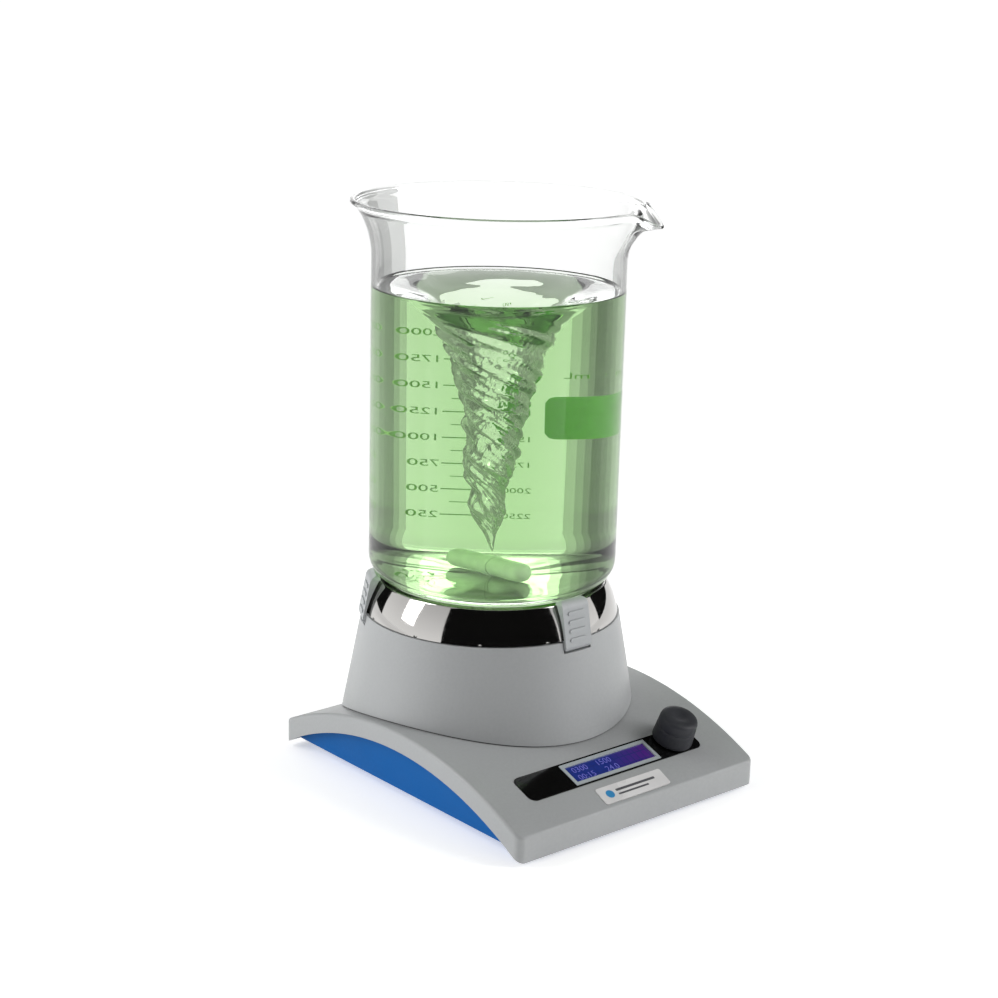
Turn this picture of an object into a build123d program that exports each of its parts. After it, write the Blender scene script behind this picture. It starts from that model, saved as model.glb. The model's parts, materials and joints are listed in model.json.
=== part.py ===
from build123d import *
from math import atan2, cos, radians, sin, sqrt
import os

os.makedirs("parts", exist_ok=True)

# Magnetic stirrer with a stirred beaker: millimetres, +Z up, the bench at z = 0,
# the front (display and knob) towards -Y, origin under the middle of the whole object.

# ---------------------------------------------------------------- driving dimensions
BASE_WIDTH = 190.0  # across, X
BASE_LENGTH = 225.0  # front to rear, Y
LIP_BOTTOM_Z = 2.5
LIP_TOP_Z = 17.85
CREST_Z = 45.75
BAND_CREST_Z = 34.0  # lower edge of the side band at mid length
WALL = 3.0
CORNER_RADIUS = 5.0
TOP_EDGE_RADIUS = 2.2

AXIS_OFFSET = 27.0  # the stirring axis lies this far behind the middle of the base
RIM_RADIUS = 88.7
BASE_Y = (BASE_LENGTH / 2 - AXIS_OFFSET - RIM_RADIUS) / 2  # centres the whole object on Y
AXIS_Y = BASE_Y + AXIS_OFFSET

TRAY_WIDTH = 178.0
TRAY_LENGTH = 212.0
TRAY_Z = 6.7
TRAY_FLOOR = 2.5
TRAY_GAP = 0.3

SEAM_Z = 97.9  # top of the tower
TOWER_TOP_RADIUS = 79.3
TOWER_TAPER = 0.186
TOWER_WALL = 3.2
TOWER_FOOT_Z = 15.0
TOWER_FLAT = 108.5  # flat back of the tower, from the middle of the base
GASKET = 0.8
GASKET_INSET = 0.7
COLUMN_CIRCLE = 62.0
COLUMN_RADIUS = 5.5
BRACKET_Z = 84.0
BRACKET_THICKNESS = 2.5

COLLAR_TOP_Z = 118.9
PLATE_Z = 118.8
PLATE_RADIUS = 66.1
PLATE_THICKNESS = 4.0
SEAL_THICKNESS = 0.8

LATCH_ANGLES = (-90.0, 30.0, 150.0)
LATCH_NAMES = ("latch_front", "latch_rear_right", "latch_rear_left")
LATCH_HALF_WIDTH = 10.2
LATCH_PIN_RADIUS = 1.0
LATCH_PIN_AT = (77.6, 95.4)  # radius from the stirring axis, height
LATCH_ROOT_RADIUS = 3.5
LATCH_TOP_Z = 122.2

BEAKER_RADIUS = 76.0
BEAKER_WALL = 2.8
BEAKER_HEEL = 14.0
BEAKER_FLOOR = 5.0
FLARE_Z = 314.0
RIM_Z = 349.2
BEAD_RADIUS = 2.2
SPOUT_ANGLE = -56.0

LIQUID_Z = 296.5
BAR_ANGLE = -94.0
BAR_LENGTH = 57.0
BAR_RADIUS = 5.75
BAR_RING_RADIUS = 6.25
BAR_Z = 130.2

PANEL_OFFSET = -84.1  # centre of the panel from the middle of the base, along Y
PANEL_WIDTH = 138.0
PANEL_HEIGHT = 20.0
PANEL_DEPTH = 1.8
LCD_X = 0.2
LCD_Y = -0.3
LCD_FRAME = (68.0, 17.7)
LCD_GLASS = (64.6, 14.0)
KNOB_X = 53.0
KNOB_Y = 2.0
KNOB_BORE_TOP = 13.8
BADGE_OFFSET = -104.3
BADGE_SIZE = (51.8, 12.2)

REAR_FITTINGS_Z = 10.4
JACK_X = -32.0
SWITCH_X = 30.0
SWITCH_REST_TILT = -7.0

FIT = 0.05  # running and screw clearance on a radius

# ---------------------------------------------------------------- shared geometry
REAR_LIP_Y = BASE_Y + BASE_LENGTH / 2
LIP_RISE = CREST_Z - LIP_TOP_Z
ARCH_RADIUS = ((BASE_LENGTH / 2) ** 2 + LIP_RISE**2) / (2 * LIP_RISE)
ARCH_CENTRE_Z = CREST_Z - ARCH_RADIUS
STIR_AXIS = Axis((0, AXIS_Y, 0), (0, 0, 1))
STIR_PLANE = Plane(origin=(0, AXIS_Y, 0))


def arch_z(offset, raised=0.0):
    """Height of the arched roof at a distance along Y from the middle of the base."""
    return ARCH_CENTRE_Z + sqrt((ARCH_RADIUS + raised) ** 2 - offset**2)


def slope_plane(offset):
    """Plane lying on the arched roof, its x along +X and its y up the slope to the rear."""
    lean = offset / ARCH_RADIUS
    return Plane(
        origin=(0, BASE_Y + offset, arch_z(offset)),
        x_dir=(1, 0, 0),
        z_dir=(0, lean, sqrt(1 - lean**2)),
    )


def radial_plane(angle):
    """Upright half plane through the stirring axis: x is the radius, y is the height."""
    outward = (cos(radians(angle)), sin(radians(angle)), 0)
    return Plane(origin=(0, AXIS_Y, 0), x_dir=outward, z_dir=(outward[1], -outward[0], 0))


def under_arch(raised, half_length, floor_z):
    """Upright section from a floor up to the arched roof, raised or lowered."""
    with BuildSketch(Plane.YZ) as section:
        with BuildLine():
            roof = ThreePointArc(
                (BASE_Y - half_length, arch_z(half_length, raised)),
                (BASE_Y, CREST_Z + raised),
                (BASE_Y + half_length, arch_z(half_length, raised)),
            )
            Polyline(roof @ 1, (BASE_Y + half_length, floor_z), (BASE_Y - half_length, floor_z), roof @ 0)
        make_face()
    return section.sketch


def lathe(*outline):
    """Turn a closed outline of (radius, height) points about the stirring axis."""
    with BuildPart() as body:
        with BuildSketch(radial_plane(0)):
            with BuildLine():
                Polyline(*outline, close=True)
            make_face()
        revolve(axis=STIR_AXIS)
    return body.part


def tube(inner, outer, low, high):
    """Ring about the stirring axis."""
    return lathe((inner, low), (outer, low), (outer, high), (inner, high))


def rod(place, radius, low, high):
    """Round bar standing on a plane between two heights above it."""
    with BuildPart() as body:
        with BuildSketch(place.offset(low)):
            Circle(radius)
        extrude(amount=high - low)
    return body.part


def block(place, width, height, low, high, corner=0.0):
    """Bar of rectangular section standing on a plane, its upright edges rounded."""
    with BuildPart() as body:
        with BuildSketch(place.offset(low)):
            if corner > 0:
                RectangleRounded(width, height, corner)
            else:
                Rectangle(width, height)
        extrude(amount=high - low)
    return body.part


def screw(place, shank_radius, length, head_height=2.2):
    """Socket-head screw: head on the plane, shank running down behind it."""
    with BuildPart() as body:
        add(rod(place, shank_radius * 1.8, 0, head_height))
        with BuildSketch(place.offset(head_height)):
            RegularPolygon(radius=shank_radius * 0.9, side_count=6)
        extrude(amount=-head_height * 0.6, mode=Mode.SUBTRACT)
        add(rod(place, shank_radius, -length, 0))
    return body.part


def at(x, y, z, downward=False):
    """Level plane at a point, facing up or down."""
    return Plane(origin=(x, y, z), z_dir=(0, 0, -1 if downward else 1))


def around(radius, angle, z, downward=False):
    """Level plane at a polar position about the stirring axis."""
    x = radius * cos(radians(angle))
    y = AXIS_Y + radius * sin(radians(angle))
    return at(x, y, z, downward)


PANEL = slope_plane(PANEL_OFFSET)
KNOB_PLACE = Plane(
    origin=PANEL.from_local_coords((KNOB_X, KNOB_Y, 0)), x_dir=PANEL.x_dir, z_dir=PANEL.z_dir
)
LCD_PLACE = Plane(
    origin=PANEL.from_local_coords((LCD_X, LCD_Y, 0)), x_dir=PANEL.x_dir, z_dir=PANEL.z_dir
)
BADGE_PLACE = slope_plane(BADGE_OFFSET)
JACK_PLACE = Plane(origin=(JACK_X, REAR_LIP_Y, REAR_FITTINGS_Z), x_dir=(-1, 0, 0), z_dir=(0, 1, 0))
SWITCH_PLACE = Plane(origin=(SWITCH_X, REAR_LIP_Y, REAR_FITTINGS_Z), x_dir=(-1, 0, 0), z_dir=(0, 1, 0))

# screw and foot positions, as (x, offset along Y from the middle of the base)
HOUSING_POINTS = [(x, y) for x in (-80, 80) for y in (-96, 0, 96)]
FOOT_POINTS = [(x, y) for x in (-66, 66) for y in (-86, 86)]
COLUMN_ANGLES = (45, 135, 225, 315)
DISPLAY_POINTS = [(x, y) for x in (-66, 66) for y in (-9, 9)]
BOARD_POINTS = [(x, y) for x in (-40, 40) for y in (-48, 12)]
BOARD_CENTRE = (0, -18)
BOARD_SIZE = (90.0, 70.0)
BOARD_Z = 14.2
BOARD_THICKNESS = 1.6
ROOF_HOLE_RADIUS = 52.0
DISPLAY_BOARD_DEPTH = 6.0

# ---------------------------------------------------------------- base cover
with BuildPart() as base_cover:
    with BuildSketch(Plane.YZ):
        half = BASE_LENGTH / 2
        with BuildLine():
            roof = ThreePointArc(
                (BASE_Y - half, LIP_TOP_Z), (BASE_Y, CREST_Z), (BASE_Y + half, LIP_TOP_Z)
            )
            rear = Line(roof @ 1, (BASE_Y + half, LIP_BOTTOM_Z))
            band = ThreePointArc(rear @ 1, (BASE_Y, BAND_CREST_Z), (BASE_Y - half, LIP_BOTTOM_Z))
            Line(band @ 1, roof @ 0)
        make_face()
    extrude(amount=BASE_WIDTH / 2, both=True)
    fillet(base_cover.edges().filter_by(Axis.Z), CORNER_RADIUS)
    roof_face = base_cover.faces().filter_by(GeomType.CYLINDER).sort_by(Axis.Z)[-1]
    fillet(roof_face.edges(), TOP_EDGE_RADIUS)
    inside = under_arch(-WALL, BASE_LENGTH / 2 - WALL, -1)
    extrude(inside, amount=BASE_WIDTH / 2 - WALL, both=True, mode=Mode.SUBTRACT)

    # bosses that hang from the roof, cut to the roof's own curve
    with BuildPart(mode=Mode.PRIVATE) as bosses:
        for x, offset in HOUSING_POINTS:
            add(rod(at(x, BASE_Y + offset, 0), 4.0, TRAY_Z + TRAY_FLOOR, CREST_Z))
        for angle in COLUMN_ANGLES:
            place = around(COLUMN_CIRCLE, angle, 0)
            seat = arch_z(place.origin.Y - BASE_Y) - 8
            add(rod(place, 6.0, seat, CREST_Z))
        for x, y in DISPLAY_POINTS:
            post = Plane(origin=PANEL.from_local_coords((x, y, 0)), z_dir=PANEL.z_dir)
            add(rod(post, 3.0, -DISPLAY_BOARD_DEPTH, -PANEL_DEPTH - 0.3))
        trim = under_arch(-WALL / 2, BASE_LENGTH / 2, -1)
        extrude(trim, amount=BASE_WIDTH / 2, both=True, mode=Mode.INTERSECT)
    add(bosses.part)

    # holes: opening under the tower, screw holes, panel recess and windows, badge recess
    add(rod(STIR_PLANE, ROOF_HOLE_RADIUS, 0, 60), mode=Mode.SUBTRACT)
    for x, offset in HOUSING_POINTS:
        add(rod(at(x, BASE_Y + offset, 0), 1.5 + FIT, 0, TRAY_Z + 14), mode=Mode.SUBTRACT)
    for angle in COLUMN_ANGLES:
        add(rod(around(COLUMN_CIRCLE, angle, 0), 2.0 + FIT, 0, 60), mode=Mode.SUBTRACT)
    add(
        block(PANEL, PANEL_WIDTH + 0.6, PANEL_HEIGHT + 0.6, -PANEL_DEPTH, 5, CORNER_RADIUS),
        mode=Mode.SUBTRACT,
    )
    add(block(LCD_PLACE, LCD_GLASS[0] + 0.6, LCD_GLASS[1] + 0.6, -9, 0), mode=Mode.SUBTRACT)
    add(block(KNOB_PLACE, 13, 13, -9, 0), mode=Mode.SUBTRACT)
    for x, y in DISPLAY_POINTS:
        post = Plane(origin=PANEL.from_local_coords((x, y, 0)), z_dir=PANEL.z_dir)
        add(rod(post, 1.0 + FIT, -DISPLAY_BOARD_DEPTH - 1, -2.6), mode=Mode.SUBTRACT)
    add(block(BADGE_PLACE, BADGE_SIZE[0] + 0.4, BADGE_SIZE[1] + 0.4, -0.3, 3, 1.6), mode=Mode.SUBTRACT)
    add(rod(JACK_PLACE, 4.0 + FIT, -WALL - 1, 1), mode=Mode.SUBTRACT)
    add(block(SWITCH_PLACE, 13.2, 8.6, -WALL - 1, 1), mode=Mode.SUBTRACT)

# ---------------------------------------------------------------- lower housing
with BuildPart() as lower_housing:
    outer = under_arch(-WALL - TRAY_GAP, TRAY_LENGTH / 2, TRAY_Z)
    extrude(outer, amount=TRAY_WIDTH / 2, both=True)
    inner = under_arch(-WALL, TRAY_LENGTH / 2 - TRAY_FLOOR, TRAY_Z + TRAY_FLOOR)
    extrude(inner, amount=TRAY_WIDTH / 2 - TRAY_FLOOR, both=True, mode=Mode.SUBTRACT)
    floor_top = TRAY_Z + TRAY_FLOOR
    for x, offset in FOOT_POINTS:
        add(rod(at(x, BASE_Y + offset, 0), 4.0, floor_top - 0.5, floor_top + 5.5))
    for x, offset in BOARD_POINTS:
        add(rod(at(x, BASE_Y + offset, 0), 3.5, floor_top - 0.5, BOARD_Z))
    for x, offset in FOOT_POINTS:
        add(rod(at(x, BASE_Y + offset, 0), 1.5 + FIT, TRAY_Z - 1, floor_top + 5), mode=Mode.SUBTRACT)
    for x, offset in BOARD_POINTS:
        add(rod(at(x, BASE_Y + offset, 0), 1.5 + FIT, floor_top - 1, BOARD_Z + 1), mode=Mode.SUBTRACT)
    for x, offset in HOUSING_POINTS:
        add(rod(at(x, BASE_Y + offset, 0), 1.5 + FIT, 0, floor_top + 1), mode=Mode.SUBTRACT)
    # cooling slots in the floor
    with BuildSketch(Plane.XY.offset(TRAY_Z - 1)):
        with Locations((0, BASE_Y + 55)):
            with GridLocations(9, 0, 9, 1):
                SlotOverall(34, 3.2, rotation=90)
    extrude(amount=TRAY_FLOOR + 2, mode=Mode.SUBTRACT)
    # notches that clear the power inlet and the switch
    for x in (JACK_X, SWITCH_X):
        notch = at(x, BASE_Y + TRAY_LENGTH / 2, 0)
        add(block(notch, 17, 18, TRAY_Z - 1, 30), mode=Mode.SUBTRACT)

with BuildPart() as rubber_feet:
    for x, offset in FOOT_POINTS:
        place = at(x, BASE_Y + offset, 0)
        add(rod(place, 9.0, 0, TRAY_Z))
        add(rod(place, 3.2, -1, 3.2), mode=Mode.SUBTRACT)
        add(rod(place, 1.5 + FIT, 0, TRAY_Z + 1), mode=Mode.SUBTRACT)
    outer_rims = rubber_feet.edges().group_by(Axis.Z)[0].filter_by(lambda e: e.radius > 8)
    chamfer(outer_rims, 0.8)

with BuildPart() as foot_screws:
    for x, offset in FOOT_POINTS:
        add(screw(at(x, BASE_Y + offset, 3.2, downward=True), 1.5, 9.5, 2.0))

with BuildPart() as housing_screws:
    for x, offset in HOUSING_POINTS:
        add(screw(at(x, BASE_Y + offset, TRAY_Z, downward=True), 1.5, 12, 2.0))

# ---------------------------------------------------------------- tower
def tower_radius(z):
    return TOWER_TOP_RADIUS + (SEAM_Z - z) * TOWER_TAPER


def tower_blank(thinner, low, high):
    """Solid cone with a flat back, set in from the tower's outside by a thickness."""
    with BuildPart() as body:
        add(
            lathe(
                (0, low),
                (tower_radius(low) - thinner, low),
                (tower_radius(high) - thinner, high),
                (0, high),
            )
        )
        beyond = at(0, BASE_Y + TOWER_FLAT - thinner + 25, 0)
        add(block(beyond, BASE_WIDTH, 50, 0, high + 1), mode=Mode.SUBTRACT)
    return body.part


LATCH_POCKET_HALF = LATCH_HALF_WIDTH + 0.5


def latch_pocket(angle, inner_radius, low, high):
    """Radial notch for one latch."""
    place = radial_plane(angle)
    outside = place.from_local_coords((100, (low + high) / 2, 0))
    inward = Plane(origin=outside, x_dir=place.z_dir, z_dir=-place.x_dir)
    return block(inward, 2 * LATCH_POCKET_HALF, high - low, 0, 100 - inner_radius)


def tangent_rod(angle, point, radius, half_length):
    """Bar along the tangent, centred on a (radius, height) point of a radial plane."""
    place = radial_plane(angle)
    centre = Plane(origin=place.from_local_coords((*point, 0)), z_dir=place.z_dir)
    return rod(centre, radius, -half_length, half_length)


with BuildPart() as tower_housing:
    # columns and the ribs that tie them to the wall
    for angle in COLUMN_ANGLES:
        add(rod(around(COLUMN_CIRCLE, angle, 0), COLUMN_RADIUS, TOWER_FOOT_Z, BRACKET_Z))
        rib = Plane(origin=(0, AXIS_Y, 0), x_dir=radial_plane(angle).x_dir, z_dir=(0, 0, 1))
        with BuildSketch(rib.offset(TOWER_FOOT_Z)):
            with Locations((78, 0)):
                Rectangle(32, 2.4)
        extrude(amount=BRACKET_Z - TOWER_FOOT_Z)
    add(tower_blank(TOWER_WALL / 2, TOWER_FOOT_Z, SEAM_Z), mode=Mode.INTERSECT)
    # outer wall
    with BuildPart(mode=Mode.PRIVATE) as tower_wall:
        add(tower_blank(0, TOWER_FOOT_Z, SEAM_Z))
        add(tower_blank(TOWER_WALL, TOWER_FOOT_Z - 1, SEAM_Z + 1), mode=Mode.SUBTRACT)
    add(tower_wall.part)
    below = under_arch(GASKET, BASE_LENGTH / 2, 0)
    extrude(below, amount=BASE_WIDTH / 2, both=True, mode=Mode.SUBTRACT)
    for angle in COLUMN_ANGLES:
        place = around(COLUMN_CIRCLE, angle, 0)
        foot = arch_z(place.origin.Y - BASE_Y)
        add(rod(place, 2.0 + FIT, 20, foot + 12), mode=Mode.SUBTRACT)
        add(rod(place, 1.5 + FIT, BRACKET_Z - 12, BRACKET_Z + 1), mode=Mode.SUBTRACT)
    for angle in LATCH_ANGLES:
        add(latch_pocket(angle, 72, 91.3, SEAM_Z + 1), mode=Mode.SUBTRACT)
        add(tangent_rod(angle, LATCH_PIN_AT, LATCH_PIN_RADIUS, 13.2), mode=Mode.SUBTRACT)

with BuildPart() as tower_gasket:
    extrude(under_arch(GASKET, BASE_LENGTH / 2, 0), amount=BASE_WIDTH / 2, both=True)
    extrude(under_arch(0, BASE_LENGTH / 2, -1), amount=BASE_WIDTH / 2, both=True, mode=Mode.SUBTRACT)
    add(tower_blank(GASKET_INSET, TOWER_FOOT_Z, SEAM_Z), mode=Mode.INTERSECT)
    add(tower_blank(TOWER_WALL, TOWER_FOOT_Z - 1, SEAM_Z), mode=Mode.SUBTRACT)

with BuildPart() as tower_screws:
    for angle in COLUMN_ANGLES:
        place = around(COLUMN_CIRCLE, angle, 0)
        seat = arch_z(place.origin.Y - BASE_Y) - 8
        add(screw(around(COLUMN_CIRCLE, angle, seat, downward=True), 2.0, 18, 2.6))

with BuildPart() as latch_pins:
    for angle in LATCH_ANGLES:
        add(tangent_rod(angle, LATCH_PIN_AT, LATCH_PIN_RADIUS, 13.2))

# ---------------------------------------------------------------- collar, seal and top plate
with BuildPart() as collar_ring:
    with BuildSketch(radial_plane(0)):
        with BuildLine():
            flank = ThreePointArc((78.4, SEAM_Z + 0.6), (74.9, 110.0), (71.0, 118.0))
            shoulder = ThreePointArc(flank @ 1, (70.5, 118.6), (69.8, COLLAR_TOP_Z))
            inner_side = Polyline(
                shoulder @ 1,
                (PLATE_RADIUS + 0.2, COLLAR_TOP_Z),
                (PLATE_RADIUS + 0.2, PLATE_Z - PLATE_THICKNESS - SEAL_THICKNESS),
                (61.0, PLATE_Z - PLATE_THICKNESS - SEAL_THICKNESS),
                (61.0, 111.5),
                (68.0, 111.5),
            )
            flank_back = ThreePointArc(inner_side @ 1, (71.6, 105.5), (72.9, SEAM_Z + 0.6))
            Polyline(
                flank_back @ 1,
                (72.9, SEAM_Z - 4),
                (75.9, SEAM_Z - 4),
                (75.9, SEAM_Z),
                (77.0, SEAM_Z),
                (77.0, SEAM_Z + 0.6),
                flank @ 0,
            )
        make_face()
    revolve(axis=STIR_AXIS)
    for angle in LATCH_ANGLES:
        add(latch_pocket(angle, 73.8, SEAM_Z - 5, 99.5), mode=Mode.SUBTRACT)
    # small drain notches in the lower edge
    for count in range(12):
        place = around(78.4, 15 + 30 * count, SEAM_Z + 0.4)
        add(rod(place, 1.3, 0, 1.3), mode=Mode.SUBTRACT)

with BuildPart() as plate_seal:
    seal_low = PLATE_Z - PLATE_THICKNESS - SEAL_THICKNESS
    add(tube(61.5, PLATE_RADIUS - 0.1, seal_low, seal_low + SEAL_THICKNESS))

with BuildPart() as top_plate:
    add(rod(STIR_PLANE, PLATE_RADIUS, PLATE_Z - PLATE_THICKNESS, PLATE_Z))
    rims = top_plate.edges().filter_by(GeomType.CIRCLE)
    chamfer(rims, 0.5)


# ---------------------------------------------------------------- latches
def latch(angle):
    """Clip that pivots on a pin in the tower and hooks over the collar's shoulder."""
    pin_r, pin_z = LATCH_PIN_AT
    root = LATCH_ROOT_RADIUS
    place = radial_plane(angle)
    joined = pin_z + sqrt(root**2 - 1.5**2)
    with BuildPart() as body:
        with BuildSketch(place):
            with BuildLine():
                low = ThreePointArc((pin_r - root, pin_z), (pin_r, pin_z - root), (pin_r + root, pin_z))
                face = Line(low @ 1, (77.0, 116.6))
                crown = ThreePointArc(face @ 1, (75.6, 120.3), (72.6, LATCH_TOP_Z))
                hook = Polyline(crown @ 1, (70.3, 120.7), (70.3, 119.4), (71.2, 119.4))
                back = ThreePointArc(hook @ 1, (75.5, 110.2), (pin_r + 1.5, joined))
                ThreePointArc(back @ 1, (pin_r - 2.475, pin_z + 2.475), low @ 0)
            make_face()
        extrude(amount=LATCH_HALF_WIDTH, both=True)
        # rounded outline, seen from outside
        front = Plane(
            origin=place.from_local_coords((60, (pin_z - root + LATCH_TOP_Z) / 2, 0)),
            x_dir=place.z_dir,
            z_dir=place.x_dir,
        )
        height = LATCH_TOP_Z - pin_z + root
        add(block(front, 2 * LATCH_HALF_WIDTH, height, 0, 40, 3.0), mode=Mode.INTERSECT)
        # four grip ribs on the sloping face
        lean = atan2(pin_r + root - 77.0, 116.6 - pin_z)
        for count in range(4):
            z = 99.0 + 5.2 * count
            r = pin_r + root - (z - pin_z) * (pin_r + root - 77.0) / (116.6 - pin_z)
            outward = place.to_local_coords(place.origin) + Vector(cos(lean), sin(lean), 0)
            normal = place.from_local_coords(outward) - place.origin
            spot = Plane(origin=place.from_local_coords((r, z, 0)), x_dir=place.z_dir, z_dir=normal)
            with BuildSketch(spot.offset(-0.4)):
                SlotOverall(13.0, 2.2)
            extrude(amount=1.1)
        add(tangent_rod(angle, LATCH_PIN_AT, LATCH_PIN_RADIUS + FIT, 20), mode=Mode.SUBTRACT)
    return body.part


latches = {}
for name, angle in zip(LATCH_NAMES, LATCH_ANGLES):
    with BuildPart() as one_latch:
        add(latch(angle))
    latches[name] = one_latch

# ---------------------------------------------------------------- display panel
with BuildPart() as panel_lens:
    add(block(PANEL, PANEL_WIDTH, PANEL_HEIGHT, -PANEL_DEPTH, 0.2, CORNER_RADIUS - 0.3))
    add(block(LCD_PLACE, LCD_FRAME[0] + 0.2, LCD_FRAME[1] + 0.2, -3, 1), mode=Mode.SUBTRACT)
    add(rod(KNOB_PLACE, 3.5 + FIT, -3, 1), mode=Mode.SUBTRACT)

with BuildPart() as lcd_bezel:
    add(block(LCD_PLACE, *LCD_FRAME, -PANEL_DEPTH, 0.5))
    add(block(LCD_PLACE, LCD_GLASS[0] - 1.0, LCD_GLASS[1] - 1.0, -3, 1), mode=Mode.SUBTRACT)
    add(block(LCD_PLACE, LCD_GLASS[0] + 0.1, LCD_GLASS[1] + 0.1, -3, -0.3), mode=Mode.SUBTRACT)

with BuildPart() as lcd_screen:
    add(block(LCD_PLACE, LCD_GLASS[0], LCD_GLASS[1], -DISPLAY_BOARD_DEPTH, -0.4))

with BuildPart() as display_pcb:
    add(
        block(PANEL, 140, 24, -DISPLAY_BOARD_DEPTH - BOARD_THICKNESS, -DISPLAY_BOARD_DEPTH, 1.0)
    )
    for x, y in DISPLAY_POINTS:
        post = Plane(origin=PANEL.from_local_coords((x, y, 0)), z_dir=PANEL.z_dir)
        add(rod(post, 1.0 + FIT, -9, 0), mode=Mode.SUBTRACT)

with BuildPart() as display_screws:
    for x, y in DISPLAY_POINTS:
        under = PANEL.from_local_coords((x, y, -DISPLAY_BOARD_DEPTH - BOARD_THICKNESS))
        add(screw(Plane(origin=under, z_dir=-PANEL.z_dir), 1.0, 4.6, 1.4))

with BuildPart() as badge:
    add(block(BADGE_PLACE, *BADGE_SIZE, -0.3, 0.5, 1.4))

# ---------------------------------------------------------------- push-and-turn knob
with BuildPart() as encoder_body:
    add(block(KNOB_PLACE, 12.4, 12.4, -DISPLAY_BOARD_DEPTH, -PANEL_DEPTH, 0.5))
    add(rod(KNOB_PLACE, 3.5, -PANEL_DEPTH - 0.5, 3.0))
    add(rod(KNOB_PLACE, 3.8, -5.5, -2.8), mode=Mode.SUBTRACT)
    add(rod(KNOB_PLACE, 3.0 + FIT, -3.5, 4), mode=Mode.SUBTRACT)

with BuildPart() as encoder_plunger:
    add(rod(KNOB_PLACE, 3.4, -4.6, -3.7))

with BuildPart() as encoder_shaft:
    add(rod(KNOB_PLACE, 3.0, -3.7, KNOB_BORE_TOP))

with BuildPart() as encoder_nut:
    with BuildSketch(KNOB_PLACE.offset(0.2)):
        RegularPolygon(radius=5.6, side_count=6)
    extrude(amount=2.0)
    add(rod(KNOB_PLACE, 3.5, -1, 3), mode=Mode.SUBTRACT)

KNOB_DIMPLE_RADIUS = 16.0
with BuildPart() as knob:
    with BuildSketch(Plane(origin=KNOB_PLACE.origin, x_dir=KNOB_PLACE.x_dir, z_dir=-KNOB_PLACE.y_dir)):
        with BuildLine():
            side = Line((12.6, 1.2), (11.8, 15.9))
            edge = ThreePointArc(side @ 1, (11.25, 17.3), (9.9, 18.05))
            crown = ThreePointArc(edge @ 1, (7.4, 18.45), (5.0, 18.5))
            Polyline(crown @ 1, (0, 18.5), (0, 1.2), side @ 0)
        make_face()
    revolve(axis=Axis(KNOB_PLACE.origin, KNOB_PLACE.z_dir))
    # finger dimple, pocket over the nut and bore for the shaft
    dimple_centre = KNOB_PLACE.offset(17.7 + KNOB_DIMPLE_RADIUS)
    with Locations(dimple_centre):
        Sphere(KNOB_DIMPLE_RADIUS, mode=Mode.SUBTRACT)
    add(rod(KNOB_PLACE, 8.0, 0, 4.6), mode=Mode.SUBTRACT)
    add(rod(KNOB_PLACE, 3.0, 4, KNOB_BORE_TOP), mode=Mode.SUBTRACT)

# ---------------------------------------------------------------- drive motor
with BuildPart() as motor_bracket:
    add(rod(STIR_PLANE, 69.0, BRACKET_Z, BRACKET_Z + BRACKET_THICKNESS))
    add(rod(STIR_PLANE, 8.7, 80, 90), mode=Mode.SUBTRACT)
    # four windows between the arms
    with BuildSketch(STIR_PLANE.offset(BRACKET_Z - 1)):
        with PolarLocations(0, 4, 0):
            with Locations((44, 0)):
                Rectangle(26, 44)
    extrude(amount=BRACKET_THICKNESS + 2, mode=Mode.SUBTRACT)
    for angle in COLUMN_ANGLES:
        add(rod(around(COLUMN_CIRCLE, angle, 0), 1.5 + FIT, 80, 90), mode=Mode.SUBTRACT)
        add(rod(around(17, angle, 0), 1.5 + FIT, 80, 90), mode=Mode.SUBTRACT)

with BuildPart() as bracket_screws:
    for angle in COLUMN_ANGLES:
        add(screw(around(COLUMN_CIRCLE, angle, BRACKET_Z + BRACKET_THICKNESS), 1.5, 10))

with BuildPart() as motor_can:
    add(
        lathe(
            (23.5, 50.0),
            (25.0, 50.0),
            (25.0, BRACKET_Z),
            (8.5, BRACKET_Z),
            (8.5, 87.4),
            (4.0, 87.4),
            (4.0, 86.6),
            (6.55, 86.6),
            (6.55, 80.6),
            (23.5, 80.6),
        )
    )
    for angle in COLUMN_ANGLES:
        add(rod(around(17, angle, 0), 1.5 + FIT, 78, 90), mode=Mode.SUBTRACT)

with BuildPart() as motor_end_bell:
    add(
        lathe(
            (0, 46.5),
            (25.0, 46.5),
            (25.0, 50.0),
            (23.4, 50.0),
            (23.4, 52.0),
            (9.0, 52.0),
            (9.0, 55.0),
            (6.55, 55.0),
            (6.55, 50.0),
            (0, 50.0),
        )
    )

with BuildPart() as motor_screws:
    for angle in COLUMN_ANGLES:
        add(screw(around(17, angle, BRACKET_Z + BRACKET_THICKNESS), 1.5, 5.4, 1.6))

with BuildPart() as motor_stator:
    add(tube(14.6, 23.4, 57, 77))

with BuildPart() as bearing_upper:
    add(tube(3.0 + FIT, 6.5, 81.8, 86.5))

with BuildPart() as bearing_lower:
    add(tube(3.0 + FIT, 6.5, 50.1, 54.8))

with BuildPart() as motor_shaft:
    add(rod(STIR_PLANE, 3.0, 50.5, 98.8))

with BuildPart() as motor_rotor_core:
    add(tube(3.0, 14.0, 58, 76))

# ---------------------------------------------------------------- magnet rotor
MAGNET_CIRCLE = 26.0
ROTOR_SCREW_ANGLES = [BAR_ANGLE + turn for turn in (60, 120, 240, 300)]

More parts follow.
